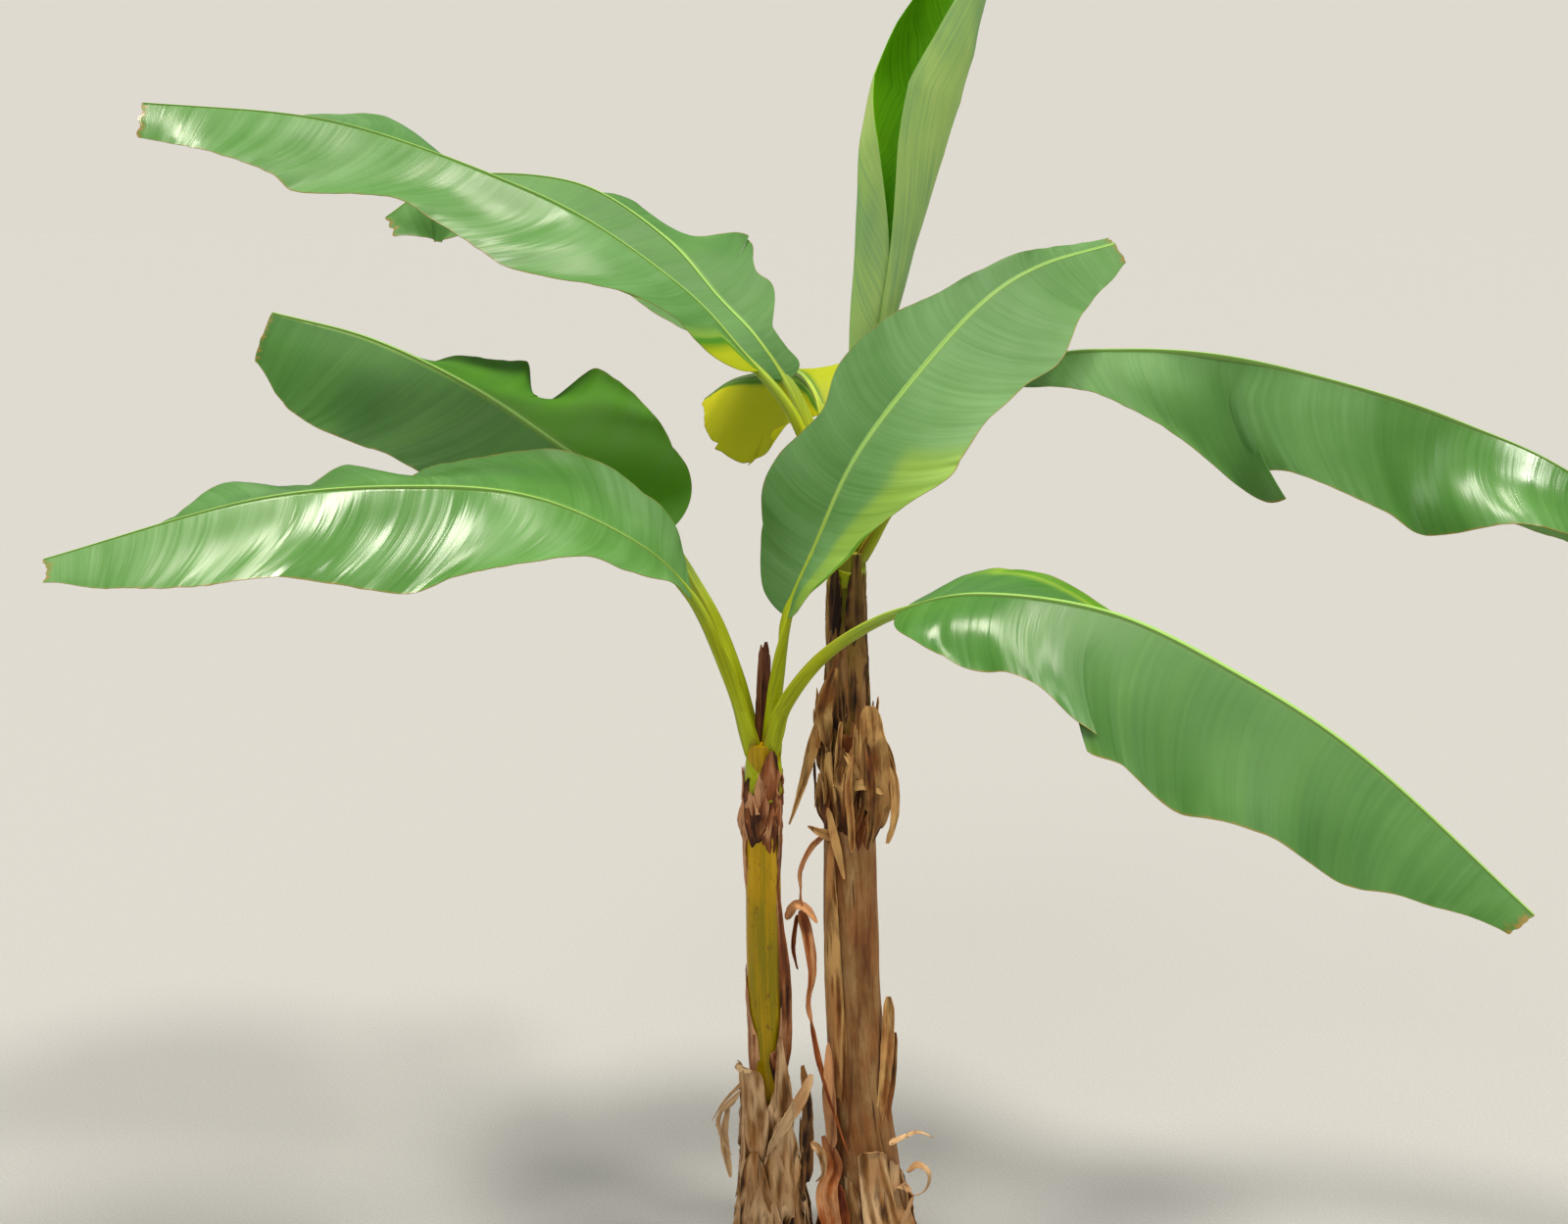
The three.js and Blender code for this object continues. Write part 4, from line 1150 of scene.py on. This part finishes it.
def rolled_over(distance, straight, radius):
    """How far out and up a strip reaches that lies flat and then rolls up: (out, up)."""
    if distance <= straight:
        return distance, 0.0
    turn = (distance - straight) / radius
    return straight + radius * math.sin(turn), radius * (1 - math.cos(turn))


def crease(x, y, seed):
    """Sharp folds with soft hollows between them, from -1 to 1."""
    return 1 - 2 * abs(wobble(x, y, seed)) - 0.6 * abs(wobble(x * 2.3, y * 2.1, seed + 7))


class Sheaths:
    """The dry sheaths of one stem. Gathers their sheets, and joins them node by node."""

    def __init__(self, node, seed):
        self.stem = Stem(node)
        self.rng = random.Random(seed)
        self.sheets = []

    def sheet(self, grid, place, shade, wall):
        piece = start_grid("sheet", *grid)
        tints = [shade(v.co.x, v.co.y) for v in piece.data.vertices]
        shape_grid(piece, place)
        set_attribute(piece, TINT, tints)
        self.sheets.append(thicken(piece, wall))

    def wrap(self, low, high, facing, half_angle, lift, tint, slant=0.0, point=0.25, top=0.7, peel=0,
             peel_radius=9, edge=0.2, flare=3, crumple=3, ragged=8):
        """A dry sheath that grows out of a stem's skin and lies round it. low and high are its ends in
        metres, facing its middle in degrees. Its top is slanted, drops at the sides by its share point,
        narrows to the share top, and peels off over its last share peel. Its side edges roll up, over the
        share edge, and it is creased all over. lift, flare, crumple, ragged and peel_radius are in
        millimetres."""
        stem = self.stem
        seed = self.rng.random() * 100
        lean = self.rng.uniform(-0.2, 0.2)
        tall = high - low
        grounded = low < GROUNDED
        in_mm = (lift, flare, crumple, ragged, peel_radius)
        lift, flare, crumple, ragged, peel_radius = (x * MM for x in in_mm)

        def folds(u, c, half):
            return crease(c * half / FOLD_SIZE[0], u * tall / FOLD_SIZE[1], seed)

        def place(u, v, _):
            c = 1 - 2 * v
            end = slant * c - point * tall * abs(c) ** 2.2
            end += ragged * (wobble(c * 3.1, seed) + 0.6 * wobble(c * 12, seed + 4))
            start = 0 if grounded else FOOT_POINT * tall * (c * c + 0.5 * wobble(c * 2.3, seed + 9))
            reach = start + u * (tall + end * u - start)
            run, off = rolled_over(reach, tall * (1 - peel), peel_radius) if peel else (reach, 0)
            z = max(low + run, FLOOR_GAP)
            girth = stem.at(z)[2]
            half = math.radians(half_angle) * girth * mix(1, top, u * u)
            q, roll = rolled_over(abs(c) * half, half * (1 - edge), SIDE_ROLL)
            angle = math.radians(facing) + lean * u + math.copysign(q, c) / girth
            crinkles = wobble(c * half / CRINKLE_SIZE[0], u * tall / CRINKLE_SIZE[1], seed)
            rough = crumple * (folds(u, c, half) + CRINKLE_HEIGHT * crinkles)
            base = lift * smooth(0, 0.3, u + 0.3 * grounded)
            base += off + roll * (0.2 + 0.8 * u) * (1 - 0.7 * smooth(0.7, 1, u)) + flare * u * u
            base += rough * smooth(0.02, 0.4, u + 0.4 * grounded) - SINK * (1 - smooth(0, 0.08, u + grounded))
            return stem.surface(angle, z, max(base, -SINK)), (u * tall, c * half)

        # The sheet's tint: its own tone, with painted shade in the hollows of its folds and lighter ridges,
        # and paler towards its rolled side edges and its upper end.
        def shade(u, v):
            c = 1 - 2 * v
            half = math.radians(half_angle) * stem.at(low)[2]
            return tint + 0.5 * (folds(u, c, half) - 0.35) + 0.12 * abs(c) ** 4 + 0.2 * (u - 0.5)

        self.sheet(SHEET_GRID, place, shade, SHEET_WALL)

    def ribbon(self, points, widths, face, tint, twist=(0, 0), curl=0.5, curl_radius=6, wrinkle=2,
               ragged=0.25, grid=RIBBON_GRID):
        """A dry strip along a curve, in millimetres. face is where its broad side looks, twist turns it from
        end to end, in degrees, and curl is the share of it that rolls up at its sides."""
        limb = Limb(points)
        look = Vector(face).normalized()
        seed = self.rng.random() * 100

        def place(u, v, _):
            s = u * limb.length
            at, forward, _, _ = limb.frame(s)
            side = forward.cross(look).normalized()
            out = side.cross(forward).normalized()
            side, out = turned(side, out, math.radians(mix(*twist, u)))
            c = 2 * v - 1
            half = along(widths, u) * MM
            half *= 1 - ragged * 0.5 * (1 + wobble(u * 9, seed, math.copysign(2, c)))
            half *= math.sqrt(min(1, (0.02 + u) / ROUND_END, (1.02 - u) / ROUND_END))
            q, roll = rolled_over(abs(c) * half, half * (1 - curl), curl_radius * MM)
            bumps = 0.7 * crease(c * half / 0.012, s / 0.06, seed) + 0.4 * wobble(c * 2, s / 0.02, seed)
            spot = at + side * math.copysign(q, c) + out * (roll + wrinkle * MM * bumps)
            spot.z = max(spot.z, FLOOR_GAP)
            return spot, (s, c * half)

        def shade(u, v):
            return tint + 0.3 * wobble(u * 4, v * 3, seed) + 0.12 * abs(2 * v - 1) ** 3

        self.sheet(grid, place, shade, RIBBON_WALL)

    def ring(self, count, low, tall, angles=(28, 50), lifts=(1, 4), tints=(0.15, 0.75), **looks):
        """Sheets evenly round the stem. low and tall are (least, most), in metres."""
        draw = self.rng.uniform
        for i in range(count):
            facing = i * 360 / count + draw(-12, 12)
            start = draw(*low)
            self.wrap(start, start + draw(*tall), facing, draw(*angles), draw(*lifts), draw(*tints),
                      slant=draw(-SLANT, SLANT), point=draw(0.2, 0.6), **looks)

    def spiral(self, steps, turn, low, high, lifts, tints, **looks):
        """Sheets that follow one another round the stem, each a turn of so many degrees after the last."""
        draw = self.rng.uniform
        for i in steps:
            self.wrap(draw(*low), draw(*high), i * turn + draw(-15, 15), draw(18, 34), draw(*lifts),
                      draw(*tints), slant=draw(-SLANT, SLANT), **looks)

    def finish(self, name, node, slot, material):
        """Joins the sheets gathered so far, and seats them."""
        piece = joined(self.sheets, name)
        piece.data.materials.append(material)
        finish_piece(piece, node, slot, 50)
        self.sheets = []


class BANANA_OT_tall_sheaths(bpy.types.Operator):
    """Builds the dry sheaths round the taller stem"""

    bl_idname = "banana.tall_sheaths"
    bl_label = "Dry Sheaths, Taller Stem"

    def execute(self, context):
        look = context.scene.banana_sheath
        tan = dry_material("dry_banana_sheath", look.brown, look.tan, look.pale, look.red, 0.45)
        dark = dry_material("dark_dry_banana_sheath", "200E08", "50301A", "906A38", "7A6414", 0.5)
        red = dry_material("red_brown_dry_banana_sheath", "5A2410", look.red, "CF9464")
        grey = dry_material("sun_bleached_banana_sheath", *BLEACHED)
        dry = Sheaths("pseudostem_tall", look.seed)

        # The collar: the dark middle, whose inner ring of dark sheets is painted shade in the gaps between
        # the outer ones, the big pale piece on the right and the curl outside it.
        dry.ring(9, (0.63, 0.72), (0.1, 0.15), tints=(0.0, 0.25))
        dry.ring(26, (0.62, 0.75), (0.08, 0.15), (9, 20), (4, 13), edge=0.5, flare=6, crumple=4, ragged=14)
        dry.wrap(0.66, 0.775, -92, 30, 8, 0.25, crumple=5, edge=0.4)
        dry.wrap(0.64, 0.80, -38, 26, 15, 0.5, peel=0.1, flare=7, crumple=7, ragged=12)
        dry.ribbon([(4, -34, 706), (4, -42, 760), (-2, -46, 820), (-6, -40, 872)], [20, 25, 26, 15],
                   (0.2, -1, 0.1), 0.65, (0, 8), 0.45, 8, 5)
        dry.ribbon([(12, -12, 676), (20, -18, 725), (22, -20, 780), (14, -20, 818)], [9, 14, 14, 7],
                   (0.5, -1, 0), 0.6, (0, 15), 0.6, 7)
        dry.ribbon([(22, -34, 660), (32, -38, 705), (30, -38, 760), (18, -36, 806)], [5, 8, 8, 4],
                   (0.4, -1, 0), 0.85, (0, 20), 0.6, 5, 3)
        # A darker strip: painted shade in the gap between the pale strips.
        dry.ribbon([(-8, -46, 655), (-2, -52, 705), (-6, -54, 770), (-12, -48, 826)], [5, 8, 9, 6],
                   (0, -1, 0), 0.35, (0, -25), 0.6, 5, 3)
        dry.ribbon([(-30, -46, 650), (-32, -52, 700), (-36, -50, 755), (-30, -46, 800)], [5, 7, 7, 4],
                   (-0.1, -1, 0), 0.6, (0, 30), 0.6, 4, 3)
        # Upright curls on the left, and pale slips that lie across.
        for points, widths, face, tint, twist, curl, curl_radius in (
            ([(-66, -14, 735), (-66, -22, 795), (-60, -22, 852)], [6, 7, 4], (-0.3, -1, 0), 0.7, 25, 0.6, 4),
            ([(-52, -30, 740), (-52, -36, 800), (-48, -32, 846)], [6, 7, 5], (0.1, -1, 0), 0.55, -25, 0.6, 4),
            ([(-66, -26, 712), (-54, -38, 660), (-42, -40, 606)], [5, 8, 3], (-0.2, -1, 0), 0.95, 30, 0.5, 5),
            ([(-42, -40, 800), (-30, -46, 782), (-18, -44, 762)], [4, 6, 4], (0, -1, 0.2), 0.9, 30, 0.4, 5),
            ([(-30, -42, 750), (-10, -48, 754), (14, -40, 738)], [8, 9, 3], (0, -1, 0.3), 0.95, 20, 0.4, 6),
            ([(-58, -26, 668), (-76, -32, 676), (-96, -32, 686)], [10, 8, 2], (0, -1, 0.2), 0.75, 20, 0.4, 6),
        ):
            dry.ribbon(points, widths, face, tint, (0, twist), curl, curl_radius)
        dry.finish("collar_tall_dry_sheaths", "sheath_collar_tall", "dry_sheath", tan)

        # The neck: every seventh step, from the sixth on, leaves a living streak bare.
        steps = [i for i in range(20) if i % 7 != 5]
        dry.spiral(steps, 51, (0.84, 0.96), (1.03, 1.09), (1, 3), (0.2, 0.8), point=0.3, top=0.8, crumple=2.2,
                   flare=0.5)
        dry.ring(14, (0.76, 0.86), (0.08, 0.14), (10, 20), (1, 3), (0.15, 0.8), top=0.5, crumple=2.2,
                 flare=0.5, ragged=14)
        dry.wrap(0.86, 0.99, -60, 30, 3, 0.8, slant=-0.03, top=0.4, crumple=2.2, flare=1)
        dry.wrap(0.93, 1.086, -72, 24, 6, 0.35, slant=0.02, top=0.8, crumple=2, flare=0, ragged=16)
        dry.wrap(0.95, 1.08, -128, 20, 6, 0.2, slant=-0.02, top=0.8, crumple=2, flare=0, ragged=14)
        dry.finish("neck_tall_dark_sheaths", "sheath_neck_tall", "dark_sheath", dark)

        # The flare, and the pale strip up the left of the stem.
        dry.ribbon([(10, -34, 200), (20, -30, 270), (26, -22, 340), (28, -16, 410)], [8, 11, 15, 9],
                   (0.45, -1, 0), 0.6, (0, 20), 0.6, 6, 4, 0.3)
        dry.ribbon([(22, -28, 190), (32, -20, 270), (38, -12, 350)], [5, 9, 6], (0.6, -1, 0), 0.4, (-10, 30),
                   0.5, 5)
        dry.wrap(0.18, 0.66, -136, 26, 3, 0.75, slant=0.05, flare=0.5, crumple=1.2)
        dry.finish("flare_tall_sheath", "sheath_flare_tall", "dry_sheath", tan)

        dry.ring(7, (0.0, 0.002), (0.08, 0.15), tints=(0.25, 0.6), edge=0.4)
        dry.wrap(0.0, 0.182, -69, 24, 11, 0.65, point=0.08, top=0.85, peel=0.06, flare=5, crumple=2.5,
                 ragged=4)
        dry.wrap(0.0, 0.13, -38, 18, 8, 0.8, point=0.3, peel=0.2)
        dry.ribbon([(30, -50, 184), (52, -50, 194), (74, -42, 198), (98, -36, 186)], [9, 8, 6, 2],
                   (0, -0.5, 1), 0.8, (0, 50), 0.6, 4)
        dry.ribbon([(58, -52, 138), (74, -50, 148), (90, -46, 132), (86, -44, 106), (68, -46, 98),
                    (58, -48, 112)], [6, 8, 8, 7, 5, 3], (0, -1, 0.2), 0.7, (60, 80), 0.4, 4)
        dry.ribbon([(66, -56, 100), (52, -62, 60), (40, -68, 20)], [3, 5, 4], (0.3, -1, 0), 0.95, (0, 40),
                   0.4, 4)
        dry.finish("flap_tall_sheaths", "sheath_flap_tall", "dry_sheath", grey)

        # The dead leaf's base, a dark strand down from the hanging strip, and a pale wing beside it.
        dry.ribbon([(-68, -64, 2), (-58, -66, 50), (-66, -58, 110), (-56, -50, 150), (-72, -46, 196)],
                   [26, 20, 21, 16, 7], (-0.2, -1, 0), 0.55, (0, -25), 0.5, 9, 5)
        dry.ribbon([(-46, -68, 2), (-40, -64, 60), (-46, -56, 120)], [16, 14, 7], (0.2, -1, 0), 0.3, (10, 35),
                   0.4, 8, 3)
        dry.ribbon([(-90, -34, 378), (-78, -42, 315), (-58, -52, 245), (-34, -60, 172)], [4, 6, 6, 4],
                   (0, -1, 0.2), 0.35, (0, 90), 0.4, 3, 1)
        dry.ribbon([(-56, -50, 180), (-62, -48, 255), (-64, -40, 345)], [9, 12, 4], (-0.4, -1, 0), 0.95,
                   (0, -20), 0.4, 6)
        dry.finish("dead_leaf_base_curl", "dead_leaf_base", "red_sheath", red)

        dry.ribbon([(-78, -8, 842), (-90, -14, 800), (-104, -24, 750), (-116, -32, 712), (-124, -36, 690)],
                   [8, 12, 10, 7, 3], (0.3, -1, 0), 0.75, (-20, 30), 0.5, 5)
        dry.ribbon([(-56, -24, 925), (-66, -28, 890), (-72, -26, 850), (-66, -24, 805)], [9, 14, 14, 8],
                   (-0.5, -1, 0), 0.45, (0, 20), 0.4, 8, 3)
        dry.finish("upper_hanging_strips", "dry_strip_upper", "dry_sheath", tan)

        dry.ribbon([(-72, -14, 664), (-92, -28, 652), (-108, -34, 618), (-108, -34, 590), (-106, -34, 556)],
                   [7, 8, 9, 10, 11], (0.2, -1, 0), 0.7, (0, 100), 0.5, 4)
        dry.ribbon([(-128, -36, 542), (-114, -40, 564), (-98, -40, 558), (-82, -36, 536)], [6, 10, 11, 7],
                   (0, -1, 0.5), 1.1, (0, 60), 0.5, 6)
        dry.ribbon([(-106, -36, 556), (-95, -38, 505), (-90, -36, 455), (-96, -34, 405), (-88, -34, 368)],
                   [11, 12, 11, 9, 5], (0.3, -1, 0), 0.6, (0, 50), 0.5, 5)
        dry.ribbon([(-112, -34, 548), (-118, -34, 500), (-112, -32, 460)], [5, 7, 3], (0.3, -1, 0), 0.4,
                   (20, 60), 0.4, 4)
        dry.finish("lower_hanging_strips", "dry_strip_lower", "dry_sheath", red)
        return {"FINISHED"}


class BANANA_OT_short_sheaths(bpy.types.Operator):
    """Builds the dry sheaths round the shorter stem"""

    bl_idname = "banana.short_sheaths"
    bl_label = "Dry Sheaths, Shorter Stem"

    def execute(self, context):
        tan = dry_material("bleached_dry_banana_sheath", *BLEACHED)
        red = dry_material("orange_brown_dry_banana_sheath", "30160C", "824A22", "C8946A", "94502C", 0.5)
        dark = dry_material("dark_dry_banana_stub", "2E160E", "5E3220", "8E5A3C")
        dry = Sheaths("pseudostem_short", context.scene.banana_sheath.seed + 1)
        draw = dry.rng.uniform

        # The skirt: the bulge on the left with its rolled pale lip, and the pointed piece on the right.
        # The inner ring is darker: painted shade in the gaps between the outer sheets.
        dry.ring(8, (0.0, 0.002), (0.18, 0.26), tints=(0.1, 0.4))
        dry.ring(24, (0.0, 0.12), (0.1, 0.18), (11, 24), (5, 14), (0.1, 0.85), top=0.5, edge=0.4, crumple=4,
                 ragged=14)
        dry.wrap(0.12, 0.345, -132, 46, 13, 0.6, point=0.1, top=0.9, peel=0.07, peel_radius=5, crumple=4,
                 flare=2)
        dry.wrap(0.15, 0.385, -62, 34, 12, 0.7, point=0.5, top=0.5, crumple=4, flare=2)
        dry.wrap(0.05, 0.26, -75, 40, 16, 0.7, point=0.3, crumple=5, flare=2)
        dry.wrap(0.02, 0.2, -120, 36, 17, 0.5, point=0.3, crumple=5, flare=4)
        dry.wrap(0.0, 0.15, -92, 30, 18, 0.75, point=0.4, crumple=5, flare=4)
        dry.ribbon([(-90, -100, 322), (-102, -112, 298), (-124, -120, 262), (-146, -120, 226),
                    (-156, -114, 200)], [7, 11, 12, 10, 5], (0.1, -1, 0.3), 1.1, (0, 40), 0.5, 6)
        dry.ribbon([(-98, -66, 130), (-97, -76, 200), (-98, -84, 270), (-104, -86, 330)], [13, 13, 11, 6],
                   (0.5, -1, 0), 0.25, (0, -10), 0.4, 7, 3)
        dry.ribbon([(-214, -78, 262), (-221, -86, 215), (-212, -88, 150)], [4, 8, 4], (-0.2, -1, 0), 0.75,
                   (0, 30), 0.5, 5)
        dry.ribbon([(-90, -84, 205), (-76, -92, 190), (-72, -94, 160), (-82, -94, 145)], [7, 8, 6, 3],
                   (0, -1, 0.4), 0.6, (0, 60), 0.5, 4)
        for i in range(WISPS):
            lean = draw(-1, 1) * 12
            wisp = [(-192 - i * 2, -86 + lean, 300 - i * 5), (-220 - i * 2, -92 + lean, 272 - i * 5),
                    (-240 + i * 5, -96 + lean, 240 - i * 9)]
            dry.ribbon(wisp, [2.2, 1.8, 0.8], (0, -1, 0.2), 0.95, (0, 60), 0.2, 3, 0.6, grid=WISP_GRID)
        dry.finish("skirt_short_dry_sheaths", "sheath_skirt_short", "dry_sheath", tan)

        # The wrap, with pale strips down the sides of the mustard sheath.
        dry.spiral(range(11), 33, (0.66, 0.72), (0.74, 0.8), (1, 4), (0.15, 0.75), point=0.4, top=0.5,
                   crumple=2.5, flare=2, ragged=12)
        dry.wrap(0.59, 0.75, -166, 18, 2.5, 0.8, point=0.3, crumple=2, flare=1)
        dry.wrap(0.61, 0.75, -22, 16, 2.5, 0.5, point=0.3, crumple=2, flare=1)
        dry.wrap(0.68, 0.78, -120, 50, 4, 0.15, slant=-0.02, point=0.4, top=0.6, flare=1)
        dry.wrap(0.69, 0.80, -70, 40, 4, 0.3, slant=0.02, point=0.5, top=0.5, flare=1)
        dry.wrap(0.74, 0.828, -60, 48, 4, 0.3, slant=-0.02, point=0.4, flare=1)
        dry.ribbon([(-186, -108, 690), (-192, -110, 722), (-188, -106, 752)], [5, 7, 3], (-0.3, -1, 0), 1.1,
                   (0, 20), 0.5, 4)
        dry.finish("wrap_short_dry_sheaths", "sheath_wrap_short", "red_sheath", red)

        # The strip, and the sheath that closes in over the mustard one from both sides.
        dry.ribbon([(-128, -88, 330), (-128, -92, 420), (-131, -98, 500), (-138, -104, 580),
                    (-142, -106, 640)], [8, 10, 9, 5, 3], (0.35, -1, 0), 0.4, (0, 10), 0.4, 6, ragged=0.15)
        closing = {"point": 0.2, "top": 0.6, "edge": 0.1, "crumple": 1.5, "flare": 1}
        dry.wrap(0.28, 0.47, -168, 52, 2.5, 0.75, -0.05, **closing)
        dry.wrap(0.28, 0.42, -40, 46, 2.5, 0.45, 0.05, **closing)
        dry.finish("strip_short_sheath", "sheath_strip_short", "red_sheath", red)

        for i in range(STUB_SHELLS):
            turn = math.radians(i * 360 / STUB_SHELLS)
            dx = STUB_RADIUS * math.cos(turn)
            dy = STUB_RADIUS * math.sin(turn)
            shell = [(-162 + dx, -92 + dy, 828), (-160 + dx, -90 + dy, 900),
                     (-158 + dx * 0.8, -88 + dy * 0.8, 960 + 5 * i)]
            dry.ribbon(shell, [8, 8, 5], (dx, dy, 0), draw(0.3, 0.7), (0, 20), 0.5, 6, 1.2)
        dry.finish("dry_stub_of_an_old_stalk", "dry_stub_short", "dark_sheath", dark)
        return {"FINISHED"}


# The stage.

CAMERA_SPOT = (-0.131, -2.807, 1.6)
CAMERA_PITCH = 78
CAMERA_LENS = 45
LIGHTS = (
    # name, where it comes from, strength, width of its disc in degrees, warm or cool
    ("sun_high", (-0.18, -0.05, 0.97), 2.3, 12, "FFF8EA"),
    ("sun_high_left", (-0.42, 0.25, 0.87), 1.3, 12, "FFF6E6"),
    ("sun_high_back", (0.25, 0.25, 0.94), 1.3, 12, "FFF6E6"),
    ("sun_high_right", (0.42, -0.18, 0.89), 2.2, 12, "FFFBF0"),
    ("sun_front_left", (-0.45, -0.75, 0.8), 0.9, 30, "FFFDF6"),
)
SKY = ((0.0, "8C9298"), (0.25, "A9B1B8"), (1.0, "E6EFF8"))  # from the horizon up
BACKDROP = "DFDAD0"  # what the camera sees behind the plant
SKY_STRENGTH = 0.6
LAMP_DISTANCE = 6


class BANANA_OT_stage(bpy.types.Operator):
    """Builds the floor, the soft lights and the camera"""

    bl_idname = "banana.stage"
    bl_label = "Stage"

    def execute(self, context):
        scene = context.scene
        look = scene.banana_stage
        bpy.ops.object.select_all(action="DESELECT")
        bpy.ops.mesh.primitive_plane_add(size=look.floor_size, location=(0, 0, 0))
        floor = context.active_object
        floor.name = "floor"
        floor.data.materials.append(floor_material("matt_floor", look.floor))
        for name, source, strength, width, shade in LIGHTS:
            spot = Vector(source).normalized() * LAMP_DISTANCE
            turn = spot.to_track_quat("Z", "Y").to_euler()
            bpy.ops.object.light_add(type="SUN", location=spot, rotation=turn)
            lamp = context.active_object
            lamp.name = name
            lamp.data.energy = strength
            lamp.data.angle = math.radians(width)
            lamp.data.color = linear(shade)
        world = bpy.data.worlds.new("studio")
        scene.world = world
        world.use_nodes = True
        world.node_tree.nodes.clear()
        node = partial(add, world.node_tree)
        height = node("axes", node("generated"))[2]
        glow = node("background", node("ramp", height, SKY), SKY_STRENGTH)
        backdrop = node("background", BACKDROP, 1)
        node("world_output", node("shader_mix", node("camera_ray"), glow, backdrop))
        bpy.ops.object.camera_add(location=CAMERA_SPOT, rotation=(math.radians(CAMERA_PITCH), 0, 0))
        camera = context.active_object
        camera.name = "camera"
        camera.data.lens = CAMERA_LENS
        scene.camera = camera
        scene.view_settings.view_transform = "Standard"
        return {"FINISHED"}


class BANANA_PT_panel(bpy.types.Panel):
    """Lists the pieces of the plant"""

    bl_idname = "BANANA_PT_panel"
    bl_label = "Banana Plant"
    bl_space_type = "VIEW_3D"
    bl_region_type = "UI"
    bl_category = "Banana Plant"

    def draw(self, context):
        for operator in OPERATORS:
            self.layout.operator(operator.bl_idname)


SETTINGS = {
    "banana_blade": BladeSettings,
    "banana_rolled": RolledSettings,
    "banana_stem": StemSettings,
    "banana_sheath": SheathSettings,
    "banana_stage": StageSettings,
}
OPERATORS = (
    BANANA_OT_stage,
    BANANA_OT_stems,
    BANANA_OT_stalks,
    BANANA_OT_blades,
    BANANA_OT_rolled_leaf,
    BANANA_OT_tall_sheaths,
    BANANA_OT_short_sheaths,
)


def register():
    for group in (*SETTINGS.values(), *OPERATORS, BANANA_PT_panel):
        bpy.utils.register_class(group)
    for name, group in SETTINGS.items():
        setattr(bpy.types.Scene, name, PointerProperty(type=group))


def unregister():
    for name in SETTINGS:
        delattr(bpy.types.Scene, name)
    for group in (BANANA_PT_panel, *reversed(OPERATORS), *SETTINGS.values()):
        bpy.utils.unregister_class(group)


def main():
    register()
    bpy.ops.banana.stage()
    bpy.ops.banana.stems()
    bpy.ops.banana.stalks()
    bpy.ops.banana.blades()
    bpy.ops.banana.rolled_leaf()
    bpy.ops.banana.tall_sheaths()
    bpy.ops.banana.short_sheaths()


if __name__ == "__main__":
    main()
